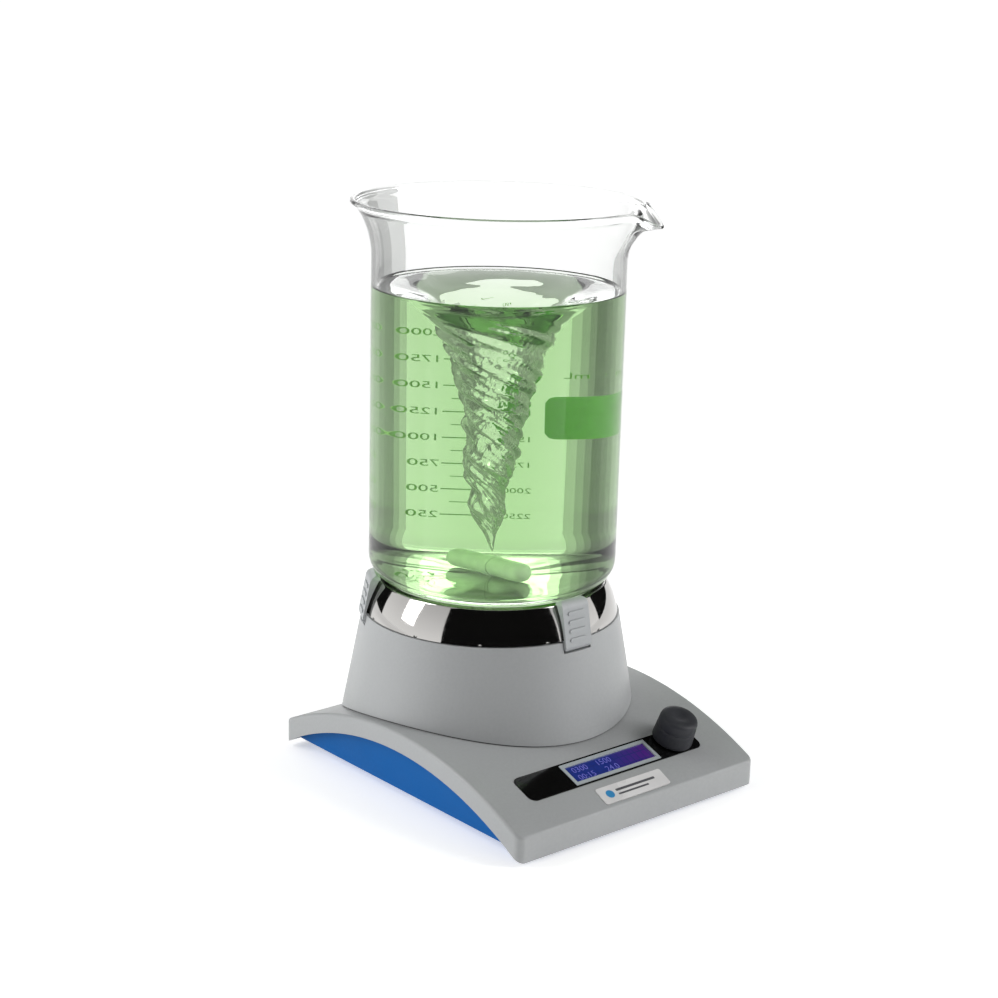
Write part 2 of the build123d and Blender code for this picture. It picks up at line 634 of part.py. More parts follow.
with BuildPart() as rotor_hub:
    add(lathe((3.0, 89.0), (9.0, 89.0), (9.0, 93.0), (24.0, 93.0), (24.0, 96.0), (3.0, 96.0)))
    for angle in ROTOR_SCREW_ANGLES:
        add(rod(around(20, angle, 0), 1.5 + FIT, 90, 100), mode=Mode.SUBTRACT)
    add(tangent_rod(BAR_ANGLE + 90, (0, 91.0), 1.5 + FIT, 12), mode=Mode.SUBTRACT)

with BuildPart() as hub_set_screw:
    grub = Plane(origin=(0, AXIS_Y, 91.0), z_dir=radial_plane(BAR_ANGLE).x_dir)
    add(rod(grub, 1.5, 3.0, 8.8))

with BuildPart() as yoke_plate:
    add(tube(3.0 + FIT, 42.0, 96, 99))
    for angle in ROTOR_SCREW_ANGLES:
        add(rod(around(20, angle, 0), 1.5 + FIT, 90, 100), mode=Mode.SUBTRACT)

with BuildPart() as magnet_carrier:
    add(tube(6.0, 42.0, 99, 105))
    for turn in (0, 180):
        add(rod(around(MAGNET_CIRCLE, BAR_ANGLE + turn, 0), 13.0 + FIT, 98, 106), mode=Mode.SUBTRACT)
    for angle in ROTOR_SCREW_ANGLES:
        add(rod(around(20, angle, 0), 1.5 + FIT, 90, 110), mode=Mode.SUBTRACT)

with BuildPart() as drive_magnets:
    for turn in (0, 180):
        add(rod(around(MAGNET_CIRCLE, BAR_ANGLE + turn, 0), 13.0, 99, 111))

with BuildPart() as rotor_screws:
    for angle in ROTOR_SCREW_ANGLES:
        add(screw(around(20, angle, 105), 1.5, 11.5))

# ---------------------------------------------------------------- control electronics
BOARD_TOP_Z = BOARD_Z + BOARD_THICKNESS
BOARD_X, BOARD_OFFSET = BOARD_CENTRE

with BuildPart() as control_pcb:
    add(block(at(BOARD_X, BASE_Y + BOARD_OFFSET, 0), *BOARD_SIZE, BOARD_Z, BOARD_TOP_Z, 2.0))
    for x, offset in BOARD_POINTS:
        add(rod(at(x, BASE_Y + offset, 0), 1.5 + FIT, 10, 20), mode=Mode.SUBTRACT)

with BuildPart() as pcb_screws:
    for x, offset in BOARD_POINTS:
        add(screw(at(x, BASE_Y + offset, BOARD_TOP_Z), 1.5, 5.5, 1.8))

with BuildPart() as heat_sink:
    add(block(at(-26, BASE_Y - 10, 0), 26, 20, BOARD_TOP_Z, BOARD_TOP_Z + 3))
    for count in range(7):
        fin = at(-26 - 12 + 4 * count, BASE_Y - 10, 0)
        add(block(fin, 1.2, 20, BOARD_TOP_Z + 2, BOARD_TOP_Z + 14))

with BuildPart() as capacitors:
    for x in (20, 33):
        add(rod(at(x, BASE_Y - 2, 0), 5.0, BOARD_TOP_Z, BOARD_TOP_Z + 13))

with BuildPart() as board_connectors:
    for x, offset, width in ((0, -40, 24), (8, 8, 12), (-16, 8, 10)):
        add(block(at(x, BASE_Y + offset, 0), width, 6, BOARD_TOP_Z, BOARD_TOP_Z + 7))

# ---------------------------------------------------------------- power inlet and switch
with BuildPart() as dc_jack:
    add(rod(JACK_PLACE, 5.5, 0, 1.4))
    add(rod(JACK_PLACE, 4.0, -11, 0))
    add(rod(JACK_PLACE, 2.8, -9, 2), mode=Mode.SUBTRACT)
    add(rod(JACK_PLACE, 1.0, -10, 0.2))

with BuildPart() as dc_jack_nut:
    with BuildSketch(JACK_PLACE.offset(-WALL)):
        RegularPolygon(radius=6.0, side_count=6)
    extrude(amount=-2.2)
    add(rod(JACK_PLACE, 4.0, -WALL - 3, 0), mode=Mode.SUBTRACT)

SWITCH_PIVOT_DEPTH = -2.6
ROCKER_HALF_LENGTH = 5.2
with BuildPart() as switch_frame:
    add(block(SWITCH_PLACE, 15.0, 10.5, 0, 1.4, 1.0))
    add(block(SWITCH_PLACE, 13.0, 8.4, -9.5, 0))
    add(block(SWITCH_PLACE, 12.0, 6.8, -8.5, 2), mode=Mode.SUBTRACT)
    pivot = Plane(origin=SWITCH_PLACE.from_local_coords((0, 0, SWITCH_PIVOT_DEPTH)), z_dir=(0, 0, 1))
    add(rod(pivot, 0.8 + FIT, -3.9, 3.9), mode=Mode.SUBTRACT)

with BuildPart() as switch_rocker:
    flat = Plane(
        origin=SWITCH_PLACE.from_local_coords((0, 0, SWITCH_PIVOT_DEPTH)),
        x_dir=(cos(radians(SWITCH_REST_TILT)), sin(radians(SWITCH_REST_TILT)), 0),
        z_dir=(0, 0, 1),
    )
    with BuildSketch(flat.offset(-3.2)):
        with BuildLine():
            wings = ThreePointArc((-5.0, 3.0), (0, 3.1), (5.0, 3.0))
            right = (ROCKER_HALF_LENGTH, 1.2)
            left = (-ROCKER_HALF_LENGTH, 1.2)
            Polyline(wings @ 1, right, (2.6, -3.6), (-2.6, -3.6), left, wings @ 0)
        make_face()
    extrude(amount=6.4)
    add(rod(flat, 0.8, -3.85, 3.85))


# ---------------------------------------------------------------- wiring
def cable(radius, bend, *points):
    """Round cable along straight runs joined by tangent arcs."""
    with BuildPart() as body:
        with BuildLine() as route:
            FilletPolyline(*points, radius=bend)
        start = route.wire()
        with BuildSketch(Plane(origin=start @ 0, z_dir=start % 0)):
            Circle(radius)
        sweep(path=start)
    return body.part


with BuildPart() as motor_cable:
    add(
        cable(
            1.6,
            5.0,
            (8, BASE_Y + 8, BOARD_TOP_Z + 7),
            (8, BASE_Y + 8, 33),
            (16, AXIS_Y - 4, 37),
            (16, AXIS_Y - 4, 46.5),
        )
    )

with BuildPart() as power_cable:
    add(
        cable(
            1.5,
            6.0,
            (JACK_X, REAR_LIP_Y - 11.6, REAR_FITTINGS_Z),
            (JACK_X, REAR_LIP_Y - 28, REAR_FITTINGS_Z + 3),
            (-16, BASE_Y + 30, 18.5),
            (-16, BASE_Y + 11, 18.5),
        )
    )

with BuildPart() as ribbon_cable:
    ribbon_start = PANEL.from_local_coords((0, 0, -DISPLAY_BOARD_DEPTH - BOARD_THICKNESS - 0.3))
    add(
        cable(
            1.3,
            4.0,
            (0, ribbon_start.Y, ribbon_start.Z),
            (0, ribbon_start.Y + 3, ribbon_start.Z - 7),
            (0, BASE_Y - 60, 18.5),
            (0, BASE_Y - 43, 18.5),
        )
    )

# ---------------------------------------------------------------- beaker, liquid and stirring bar
INNER_RADIUS = BEAKER_RADIUS - BEAKER_WALL
INNER_FLOOR_Z = PLATE_Z + BEAKER_FLOOR
INNER_HEEL = BEAKER_HEEL - BEAKER_WALL
BEAD_Z = RIM_Z - BEAD_RADIUS
BEAD_CENTRE = RIM_RADIUS - BEAD_RADIUS
FLARE_TURN = 35.5  # lean of the wall where it meets the rim
FLARE_END = (86.0, 345.2)
SPOUT_LOW = (73.2, 320.5)
SPOUT_HIGH = (88.4, 344.0)


def spout_cone(low_radius, high_radius, past):
    """Cone along the spout, extended past its mouth by a length."""
    place = radial_plane(SPOUT_ANGLE)
    start = place.from_local_coords((*SPOUT_LOW, 0))
    end = place.from_local_coords((*SPOUT_HIGH, 0))
    length = (end - start).length
    grow = (high_radius - low_radius) / length
    with BuildPart() as body:
        along = Plane(origin=start, z_dir=end - start)
        with BuildSketch(along):
            Circle(low_radius)
        with BuildSketch(along.offset(length + past)):
            Circle(high_radius + grow * past)
        loft()
    return body.part


with BuildPart() as beaker:
    with BuildSketch(radial_plane(0)):
        with BuildLine():
            bottom = Line((0, PLATE_Z), (BEAKER_RADIUS - BEAKER_HEEL, PLATE_Z))
            heel = TangentArc(bottom @ 1, (BEAKER_RADIUS, PLATE_Z + BEAKER_HEEL), tangent=(1, 0))
            side = Line(heel @ 1, (BEAKER_RADIUS, FLARE_Z))
            flare = TangentArc(side @ 1, FLARE_END, tangent=(0, 1))
            Polyline(flare @ 1, (BEAD_CENTRE, BEAD_Z), (0, BEAD_Z), (0, PLATE_Z))
        make_face()
        with Locations((BEAD_CENTRE, BEAD_Z)):
            Circle(BEAD_RADIUS)
    revolve(axis=STIR_AXIS)
    with BuildPart(mode=Mode.PRIVATE) as pouring_lip:
        add(spout_cone(4.0, 12.0, 0))
        split(bisect_by=Plane.XY.offset(BEAD_Z + 0.7), keep=Keep.BOTTOM)
    add(pouring_lip.part)
    with BuildSketch(radial_plane(0)):
        with BuildLine():
            inner_end = (
                FLARE_END[0] - BEAKER_WALL * cos(radians(FLARE_TURN)),
                FLARE_END[1] + BEAKER_WALL * sin(radians(FLARE_TURN)),
            )
            floor = Line((0, INNER_FLOOR_Z), (INNER_RADIUS - INNER_HEEL, INNER_FLOOR_Z))
            heel = TangentArc(floor @ 1, (INNER_RADIUS, INNER_FLOOR_Z + INNER_HEEL), tangent=(1, 0))
            side = Line(heel @ 1, (INNER_RADIUS, FLARE_Z))
            flare = TangentArc(side @ 1, inner_end, tangent=(0, 1))
            lip = BEAD_CENTRE - BEAD_RADIUS + 0.5
            Polyline(flare @ 1, (lip, BEAD_Z + 0.6), (lip, 360), (0, 360), floor @ 0)
        make_face()
    revolve(axis=STIR_AXIS, mode=Mode.SUBTRACT)
    add(spout_cone(1.4, 9.4, 20), mode=Mode.SUBTRACT)

with BuildPart() as liquid:
    with BuildSketch(radial_plane(0)):
        reach = BAR_LENGTH / 2 + 2
        skin = 0.2
        with BuildLine():
            bed = Line((reach, INNER_FLOOR_Z + skin), (INNER_RADIUS - INNER_HEEL, INNER_FLOOR_Z + skin))
            corner = TangentArc(
                bed @ 1, (INNER_RADIUS - skin, INNER_FLOOR_Z + INNER_HEEL), tangent=(1, 0)
            )
            side = Line(corner @ 1, (INNER_RADIUS - skin, LIQUID_Z))
            funnel = Spline(
                side @ 1,
                (52, LIQUID_Z - 3),
                (30, LIQUID_Z - 28),
                (17, LIQUID_Z - 68),
                (8.5, LIQUID_Z - 118),
                (0, LIQUID_Z - 148),
            )
            Polyline(funnel @ 1, (0, BAR_Z + 8.5), (reach, BAR_Z + 8.5), bed @ 0)
        make_face()
    revolve(axis=STIR_AXIS)

BAR_PLANE = Plane(
    origin=(0, AXIS_Y, BAR_Z), x_dir=radial_plane(BAR_ANGLE).x_dir, z_dir=(0, 0, 1)
)
BAR_CORE_HALF = 22.0
with BuildPart() as stir_bar:
    with BuildSketch(BAR_PLANE):
        SlotOverall(BAR_LENGTH, 2 * BAR_RADIUS)
        split(bisect_by=Plane(origin=(0, 0, 0), z_dir=(0, 1, 0)))
    revolve(axis=Axis(BAR_PLANE.origin, BAR_PLANE.x_dir))
    across = Plane(origin=BAR_PLANE.origin, z_dir=BAR_PLANE.x_dir)
    add(rod(across, BAR_RING_RADIUS, -3, 3))
    add(rod(across, 3.5, -BAR_CORE_HALF, BAR_CORE_HALF), mode=Mode.SUBTRACT)

with BuildPart() as stir_bar_core:
    add(rod(across, 3.5, -BAR_CORE_HALF, BAR_CORE_HALF))

# ---------------------------------------------------------------- one file for each piece
pieces = {
    "base_cover": base_cover,
    "lower_housing": lower_housing,
    "rubber_feet": rubber_feet,
    "foot_screws": foot_screws,
    "housing_screws": housing_screws,
    "tower_housing": tower_housing,
    "tower_gasket": tower_gasket,
    "tower_screws": tower_screws,
    "collar_ring": collar_ring,
    "plate_seal": plate_seal,
    "top_plate": top_plate,
    **latches,
    "latch_pins": latch_pins,
    "panel_lens": panel_lens,
    "lcd_bezel": lcd_bezel,
    "lcd_screen": lcd_screen,
    "display_pcb": display_pcb,
    "display_screws": display_screws,
    "badge": badge,
    "encoder_body": encoder_body,
    "encoder_plunger": encoder_plunger,
    "encoder_shaft": encoder_shaft,
    "encoder_nut": encoder_nut,
    "knob": knob,
    "motor_bracket": motor_bracket,
    "bracket_screws": bracket_screws,
    "motor_can": motor_can,
    "motor_end_bell": motor_end_bell,
    "motor_screws": motor_screws,
    "motor_stator": motor_stator,
    "bearing_upper": bearing_upper,
    "bearing_lower": bearing_lower,
    "motor_shaft": motor_shaft,
    "motor_rotor_core": motor_rotor_core,
    "rotor_hub": rotor_hub,
    "hub_set_screw": hub_set_screw,
    "yoke_plate": yoke_plate,
    "magnet_carrier": magnet_carrier,
    "drive_magnets": drive_magnets,
    "rotor_screws": rotor_screws,
    "control_pcb": control_pcb,
    "pcb_screws": pcb_screws,
    "heat_sink": heat_sink,
    "capacitors": capacitors,
    "board_connectors": board_connectors,
    "dc_jack": dc_jack,
    "dc_jack_nut": dc_jack_nut,
    "switch_frame": switch_frame,
    "switch_rocker": switch_rocker,
    "motor_cable": motor_cable,
    "power_cable": power_cable,
    "ribbon_cable": ribbon_cable,
    "beaker": beaker,
    "liquid": liquid,
    "stir_bar": stir_bar,
    "stir_bar_core": stir_bar_core,
}
for name, piece in pieces.items():
    piece.part.label = name
    export_step(piece.part, f"parts/{name}.step")
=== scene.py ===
import json
from math import cos, exp, pi, radians, sin, sqrt

import bmesh
import bpy
from mathutils import Matrix, Vector, noise


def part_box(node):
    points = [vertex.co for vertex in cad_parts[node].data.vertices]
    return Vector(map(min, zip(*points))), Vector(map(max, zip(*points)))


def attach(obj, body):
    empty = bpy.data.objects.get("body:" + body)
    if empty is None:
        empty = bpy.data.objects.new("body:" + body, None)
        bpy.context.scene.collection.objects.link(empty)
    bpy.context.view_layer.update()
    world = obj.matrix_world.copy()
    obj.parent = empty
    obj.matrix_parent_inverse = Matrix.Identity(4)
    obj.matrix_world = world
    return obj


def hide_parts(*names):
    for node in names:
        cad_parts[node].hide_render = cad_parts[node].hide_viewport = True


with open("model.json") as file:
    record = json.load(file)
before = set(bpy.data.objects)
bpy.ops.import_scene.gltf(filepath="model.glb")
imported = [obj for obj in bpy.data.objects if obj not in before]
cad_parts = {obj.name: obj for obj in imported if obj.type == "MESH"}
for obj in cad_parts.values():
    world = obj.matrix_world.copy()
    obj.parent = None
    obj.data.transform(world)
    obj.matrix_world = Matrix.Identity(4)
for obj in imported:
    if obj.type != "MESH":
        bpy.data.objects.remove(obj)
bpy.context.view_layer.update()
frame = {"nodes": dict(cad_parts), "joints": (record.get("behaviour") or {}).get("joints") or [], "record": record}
nodes = frame["nodes"]
joints = {joint["name"]: joint for joint in frame["joints"]}

MM = 0.001

# ------------------------------------------------------------------ places read from the frame
AXIS = Vector(joints["rotor_spin"]["pos_m"])  # a point on the upright stirring axis
PLATE_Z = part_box("top_plate")[1].z
RIM_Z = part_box("beaker")[1].z
BEAKER_LOW, BEAKER_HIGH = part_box("beaker")
RIM_RADIUS = (BEAKER_HIGH.x - BEAKER_LOW.x) / 2
LIQUID_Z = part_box("liquid")[1].z
KNOB_POINT = Vector(joints["knob_turn"]["pos_m"])
KNOB_AXIS = Vector(joints["knob_turn"]["axis"]).normalized()

# ------------------------------------------------------------------ beaker sizes
GLASS_RADIUS = 76.0 * MM
GLASS_WALL = 2.8 * MM
HEEL = 14.0 * MM
BEAD = 1.6 * MM  # radius of the rounded rim
GLASS_FLOOR = 5.0 * MM
FLARE_HEIGHT = 35.0 * MM  # below the rim
FLARE_TURN = radians(37)  # lean of the wall at the top of the flare
FLARE_RADIUS = FLARE_HEIGHT * 0.93 / sin(FLARE_TURN)
SPOUT_ANGLE = radians(-56)
SPOUT_WIDTH = radians(10)
SPOUT_REACH = 9.0 * MM
SPOUT_DIP = 9.5 * MM
INNER_RADIUS = GLASS_RADIUS - GLASS_WALL
INNER_FLOOR_Z = PLATE_Z + GLASS_FLOOR


# ------------------------------------------------------------------ small helpers
def smoothstep(low, high, value):
    t = min(1.0, max(0.0, (value - low) / (high - low)))
    return t * t * (3 - 2 * t)


def spaced(first, last, count):
    """Evenly spaced values, both ends included."""
    return [first + (last - first) * step / (count - 1) for step in range(count)]


def new_object(name, mesh_builder, smooth=True):
    """Run a function that fills a bmesh and make an object of it."""
    mesh = bpy.data.meshes.new(name)
    bm = bmesh.new()
    mesh_builder(bm)
    bmesh.ops.recalc_face_normals(bm, faces=bm.faces)
    bm.to_mesh(mesh)
    bm.free()
    piece = bpy.data.objects.new(name, mesh)
    bpy.context.scene.collection.objects.link(piece)
    for polygon in mesh.polygons:
        polygon.use_smooth = smooth
    return piece


def arc(centre, radius, start, end, steps):
    """Points of an arc in a (radius, height) plane, angles in degrees."""
    points = []
    for step in range(steps + 1):
        angle = radians(start + (end - start) * step / steps)
        points.append((centre[0] + radius * cos(angle), centre[1] + radius * sin(angle)))
    return points


def lathe_mesh(bm, profile, segments, place=None, shape=None, closed=True):
    """Turn a (radius, height) profile about an axis; points on the axis become poles."""
    rings = []
    for radius, height in profile:
        if radius < 1e-7:
            rings.append([bm.verts.new(shape_point(0.0, height, 0.0, place, shape))])
            continue
        ring = []
        for segment in range(segments):
            angle = 2 * pi * segment / segments
            ring.append(bm.verts.new(shape_point(radius, height, angle, place, shape)))
        rings.append(ring)
    pairs = list(zip(rings, rings[1:]))
    if closed:
        pairs.append((rings[-1], rings[0]))
    for low, high in pairs:
        for segment in range(segments):
            after = (segment + 1) % segments
            if len(low) == 1 and len(high) == 1:
                continue
            if len(low) == 1:
                bm.faces.new((low[0], high[after], high[segment]))
            elif len(high) == 1:
                bm.faces.new((low[segment], low[after], high[0]))
            else:
                bm.faces.new((low[segment], low[after], high[after], high[segment]))


def shape_point(radius, height, angle, place, shape):
    if shape is not None:
        radius, height = shape(radius, height, angle)
    point = Vector((radius * cos(angle), radius * sin(angle), height))
    if place is None:
        return point + Vector((AXIS.x, AXIS.y, 0))
    return place @ point


# ------------------------------------------------------------------ materials
class Shader:
    """A node material with one Principled shader and short calls for its parts."""

    def __init__(self, name, colour, roughness, metallic=0.0, **inputs):
        self.material = bpy.data.materials.new(name)
        self.material.use_nodes = True
        self.tree = self.material.node_tree
        self.bsdf = self.tree.nodes["Principled BSDF"]
        self.out = self.tree.nodes["Material Output"]
        self.colour = colour
        self.set("Base Color", (*colour, 1))
        self.set("Roughness", roughness)
        self.set("Metallic", metallic)
        for key, value in inputs.items():
            self.set(key.replace("_", " "), value)
        self.coordinates = self.node("ShaderNodeTexCoord").outputs["Object"]

    def set(self, socket, value):
        self.bsdf.inputs[socket].default_value = value

    def node(self, kind, **settings):
        made = self.tree.nodes.new(kind)
        for key, value in settings.items():
            setattr(made, key, value)
        return made

    def link(self, source, target):
        self.tree.links.new(source, target)

    def noise(self, scale, detail=3.0, stretch=(1, 1, 1), roughness=0.5):
        mapping = self.node("ShaderNodeMapping")
        mapping.inputs["Scale"].default_value = stretch
        self.link(self.coordinates, mapping.inputs["Vector"])
        made = self.node("ShaderNodeTexNoise")
        made.inputs["Scale"].default_value = scale
        made.inputs["Detail"].default_value = detail
        made.inputs["Roughness"].default_value = roughness
        self.link(mapping.outputs["Vector"], made.inputs["Vector"])
        return made.outputs["Fac"]

    def ramp(self, factor, low, high, start=0.35, end=0.65):
        made = self.node("ShaderNodeMapRange")
        made.inputs["From Min"].default_value = start
        made.inputs["From Max"].default_value = end
        made.inputs["To Min"].default_value = low
        made.inputs["To Max"].default_value = high
        self.link(factor, made.inputs["Value"])
        return made.outputs["Result"]

    def vary_colour(self, factor, other, share=1.0, start=0.35, end=0.65):
        """Blend the base colour towards another where a texture is high."""
        mix = self.node("ShaderNodeMix", data_type="RGBA")
        source = self.bsdf.inputs["Base Color"]
        if source.is_linked:
            self.link(source.links[0].from_socket, mix.inputs["A"])
        else:
            mix.inputs["A"].default_value = (*self.colour, 1)
        mix.inputs["B"].default_value = (*other, 1)
        self.link(self.ramp(factor, 0, share, start, end), mix.inputs["Factor"])
        self.link(mix.outputs["Result"], source)

    def vary_roughness(self, factor, low, high):
        self.link(self.ramp(factor, low, high), self.bsdf.inputs["Roughness"])

    def bump(self, height, strength, distance=0.0001):
        made = self.node("ShaderNodeBump")
        made.inputs["Strength"].default_value = strength
        made.inputs["Distance"].default_value = distance
        self.link(height, made.inputs["Height"])
        source = self.bsdf.inputs["Normal"]
        if source.is_linked:
            self.link(source.links[0].from_socket, made.inputs["Normal"])
        self.link(made.outputs["Normal"], source)

    def clear_to_light(self, tint):
        """Let light for other surfaces pass straight through, as thin clear glass does."""
        path = self.node("ShaderNodeLightPath")
        clear = self.node("ShaderNodeBsdfTransparent")
        clear.inputs["Color"].default_value = (*tint, 1)
        mix = self.node("ShaderNodeMixShader")
        self.link(path.outputs["Is Shadow Ray"], mix.inputs["Fac"])
        self.link(self.bsdf.outputs["BSDF"], mix.inputs[1])
        self.link(clear.outputs["BSDF"], mix.inputs[2])
        self.link(mix.outputs["Shader"], self.out.inputs["Surface"])


def scaled(colour, share):
    return tuple(min(1.0, channel * share) for channel in colour)


def moulded_plastic(name, colour, roughness, texture=0.35, grain=1500.0, shine=0.5):
    """Satin moulded plastic: fine spark-eroded texture, faint tone and gloss changes."""
    made = Shader(name, colour, roughness)
    made.set("Specular IOR Level", shine)
    cloudy = made.noise(9.0, 4.0)
    made.vary_colour(cloudy, scaled(colour, 0.94))
    made.vary_colour(made.noise(grain * 0.4, 2.0), scaled(colour, 1.05), 0.5)
    made.vary_roughness(made.noise(26.0, 5.0), roughness * 0.88, min(1.0, roughness * 1.12))
    made.bump(made.noise(grain, 3.0, roughness=0.6), texture, 0.00006)
    return made.material


def brushed_metal(name, colour, roughness, stretch=(1, 1, 60), scale=120.0):
    made = Shader(name, colour, roughness, 1.0)
    made.vary_roughness(made.noise(scale, 4.0, stretch), roughness * 0.7, roughness * 1.4)
    made.vary_colour(made.noise(14.0, 4.0), scaled(colour, 0.86))
    made.bump(made.noise(scale * 2, 3.0, stretch), 0.12, 0.00003)
    return made.material


def soft_rubber(name, colour, roughness=0.75):
    made = Shader(name, colour, roughness)
    made.set("Specular IOR Level", 0.35)
    made.vary_colour(made.noise(40.0, 5.0), scaled(colour, 1.6), 0.6)
    made.vary_roughness(made.noise(60.0, 4.0), roughness * 0.85, min(1.0, roughness * 1.15))
    made.bump(made.noise(900.0, 3.0), 0.3, 0.00008)
    return made.material


def gloss_plastic(name, colour, roughness=0.08):
    made = Shader(name, colour, roughness)
    made.set("Coat Weight", 0.5)
    made.set("Coat Roughness", 0.04)
    made.vary_roughness(made.noise(22.0, 5.0), roughness * 0.6, roughness * 1.6)
    made.vary_colour(made.noise(60.0, 6.0), scaled(colour, 1.25), 0.4)
    made.bump(made.noise(18.0, 2.0), 0.02, 0.0002)
    return made.material


def circuit_board(name):
    """Green solder mask over faint copper tracks."""
    mask = (0.012, 0.10, 0.035)
    made = Shader(name, mask, 0.35)
    brick = made.node("ShaderNodeTexBrick")
    brick.inputs["Scale"].default_value = 240.0
    brick.inputs["Mortar Size"].default_value = 0.035
    brick.inputs["Color1"].default_value = (0, 0, 0, 1)
    brick.inputs["Color2"].default_value = (0, 0, 0, 1)
    brick.inputs["Mortar"].default_value = (1, 1, 1, 1)
    made.link(made.coordinates, brick.inputs["Vector"])
    made.vary_colour(brick.outputs["Color"], (0.05, 0.22, 0.07), 1.0, 0.0, 1.0)
    made.vary_colour(made.noise(30.0, 4.0), scaled(mask, 0.7), 0.5)
    made.bump(brick.outputs["Color"], 0.2, 0.00005)
    return made.material


def enamelled_windings(name):
    copper = (0.55, 0.2, 0.07)
    made = Shader(name, copper, 0.32, 0.8)
    wave = made.node("ShaderNodeTexWave", wave_type="BANDS", bands_direction="Z")
    wave.inputs["Scale"].default_value = 900.0
    wave.inputs["Distortion"].default_value = 2.0
    made.link(made.coordinates, wave.inputs["Vector"])
    made.vary_colour(wave.outputs["Fac"], (0.2, 0.06, 0.02), 1.0, 0.0, 1.0)
    made.bump(wave.outputs["Fac"], 0.6, 0.0003)
    return made.material


def polished_dark_metal(name):
    """Collar: dark mirror plating with faint polishing marks round it."""
    colour = (0.50, 0.49, 0.475)
    made = Shader(name, colour, 0.045, 1.0)
    made.vary_colour(made.noise(5.0, 3.0), scaled(colour, 0.93))
    made.vary_roughness(made.noise(45.0, 5.0, (1, 1, 14)), 0.03, 0.075)
    made.bump(made.noise(70.0, 3.0, (1, 1, 10)), 0.015, 0.0001)
    return made.material


def glazed_plate(name):
    colour = (0.86, 0.86, 0.83)
    made = Shader(name, colour, 0.22)
    made.set("Coat Weight", 0.4)
    made.set("Coat Roughness", 0.1)
    made.vary_colour(made.noise(20.0, 5.0), scaled(colour, 0.95))
    made.vary_roughness(made.noise(35.0, 4.0), 0.16, 0.3)
    made.bump(made.noise(120.0, 3.0), 0.04, 0.0001)
    return made.material


GLASS_IOR = 1.27  # lower than real glass, for a paler rim


def clear_glass(name):
    made = Shader(name, (0.992, 0.998, 0.993), 0.0)
    made.set("Transmission Weight", 1.0)
    made.set("IOR", GLASS_IOR)
    made.bump(made.noise(16.0, 2.0, (1, 1, 0.35)), 0.02, 0.0004)
    made.clear_to_light((0.95, 0.97, 0.955))
    return made.material


def green_liquid(name):
    made = Shader(name, (1.0, 1.0, 1.0), 0.0)
    made.set("Transmission Weight", 1.0)
    made.set("IOR", 1.333)
    made.bump(made.noise(40.0, 3.0), 0.03, 0.0004)
    depth = made.node("ShaderNodeVolumeAbsorption")
    depth.inputs["Color"].default_value = (0.29, 0.69, 0.05, 1)
    depth.inputs["Density"].default_value = 8.5
    made.link(depth.outputs["Volume"], made.out.inputs["Volume"])
    made.clear_to_light((0.97, 0.99, 0.96))
    return made.material


def bar_coating(name):
    """Smooth fluoropolymer with faint scuffs from the glass."""
    colour = (0.80, 0.84, 0.76)
    made = Shader(name, colour, 0.38)
    made.set("Subsurface Weight", 0.15)
    made.set("Subsurface Radius", (0.003, 0.003, 0.002))
    made.vary_colour(made.noise(160.0, 6.0), scaled(colour, 0.86), 0.8)
    made.vary_roughness(made.noise(90.0, 4.0), 0.3, 0.5)
    made.bump(made.noise(400.0, 4.0), 0.1, 0.0001)
    return made.material


def display_glass(name):
    """Backlit display: blue with a violet middle, behind fine character cells."""
    blue = (0.010, 0.022, 0.15)
    made = Shader(name, blue, 0.16)
    made.set("Coat Weight", 0.6)
    cells = made.node("ShaderNodeTexBrick", offset=0.0)
    cells.inputs["Scale"].default_value = 1.0
    cells.inputs["Brick Width"].default_value = 4.3 * MM
    cells.inputs["Row Height"].default_value = 6.0 * MM
    cells.inputs["Mortar Size"].default_value = 0.35 * MM
    cells.inputs["Color1"].default_value = (0, 0, 0, 1)
    cells.inputs["Color2"].default_value = (0, 0, 0, 1)
    cells.inputs["Mortar"].default_value = (1, 1, 1, 1)
    made.link(made.coordinates, cells.inputs["Vector"])
    violet = made.noise(22.0, 1.0)
    made.vary_colour(violet, (0.055, 0.012, 0.14), 0.9, 0.42, 0.6)
    made.vary_colour(cells.outputs["Color"], (0.012, 0.02, 0.11), 0.7, 0.0, 1.0)
    glow = made.bsdf.inputs["Base Color"].links[0].from_socket
    made.link(glow, made.bsdf.inputs["Emission Color"])
    made.set("Emission Strength", 0.5)
    made.vary_roughness(made.noise(50.0, 3.0), 0.12, 0.22)
    return made.material


def printed_ink(name, colour, roughness=0.5, emission=0.0):
    made = Shader(name, colour, roughness)
    made.vary_colour(made.noise(500.0, 4.0), scaled(colour, 0.85), 0.6)
    made.vary_roughness(made.noise(300.0, 3.0), roughness * 0.8, roughness * 1.2)
    made.bump(made.noise(1200.0, 2.0), 0.1, 0.00004)
    if emission:
        made.set("Emission Color", (*colour, 1))
        made.set("Emission Strength", emission)
    return made.material


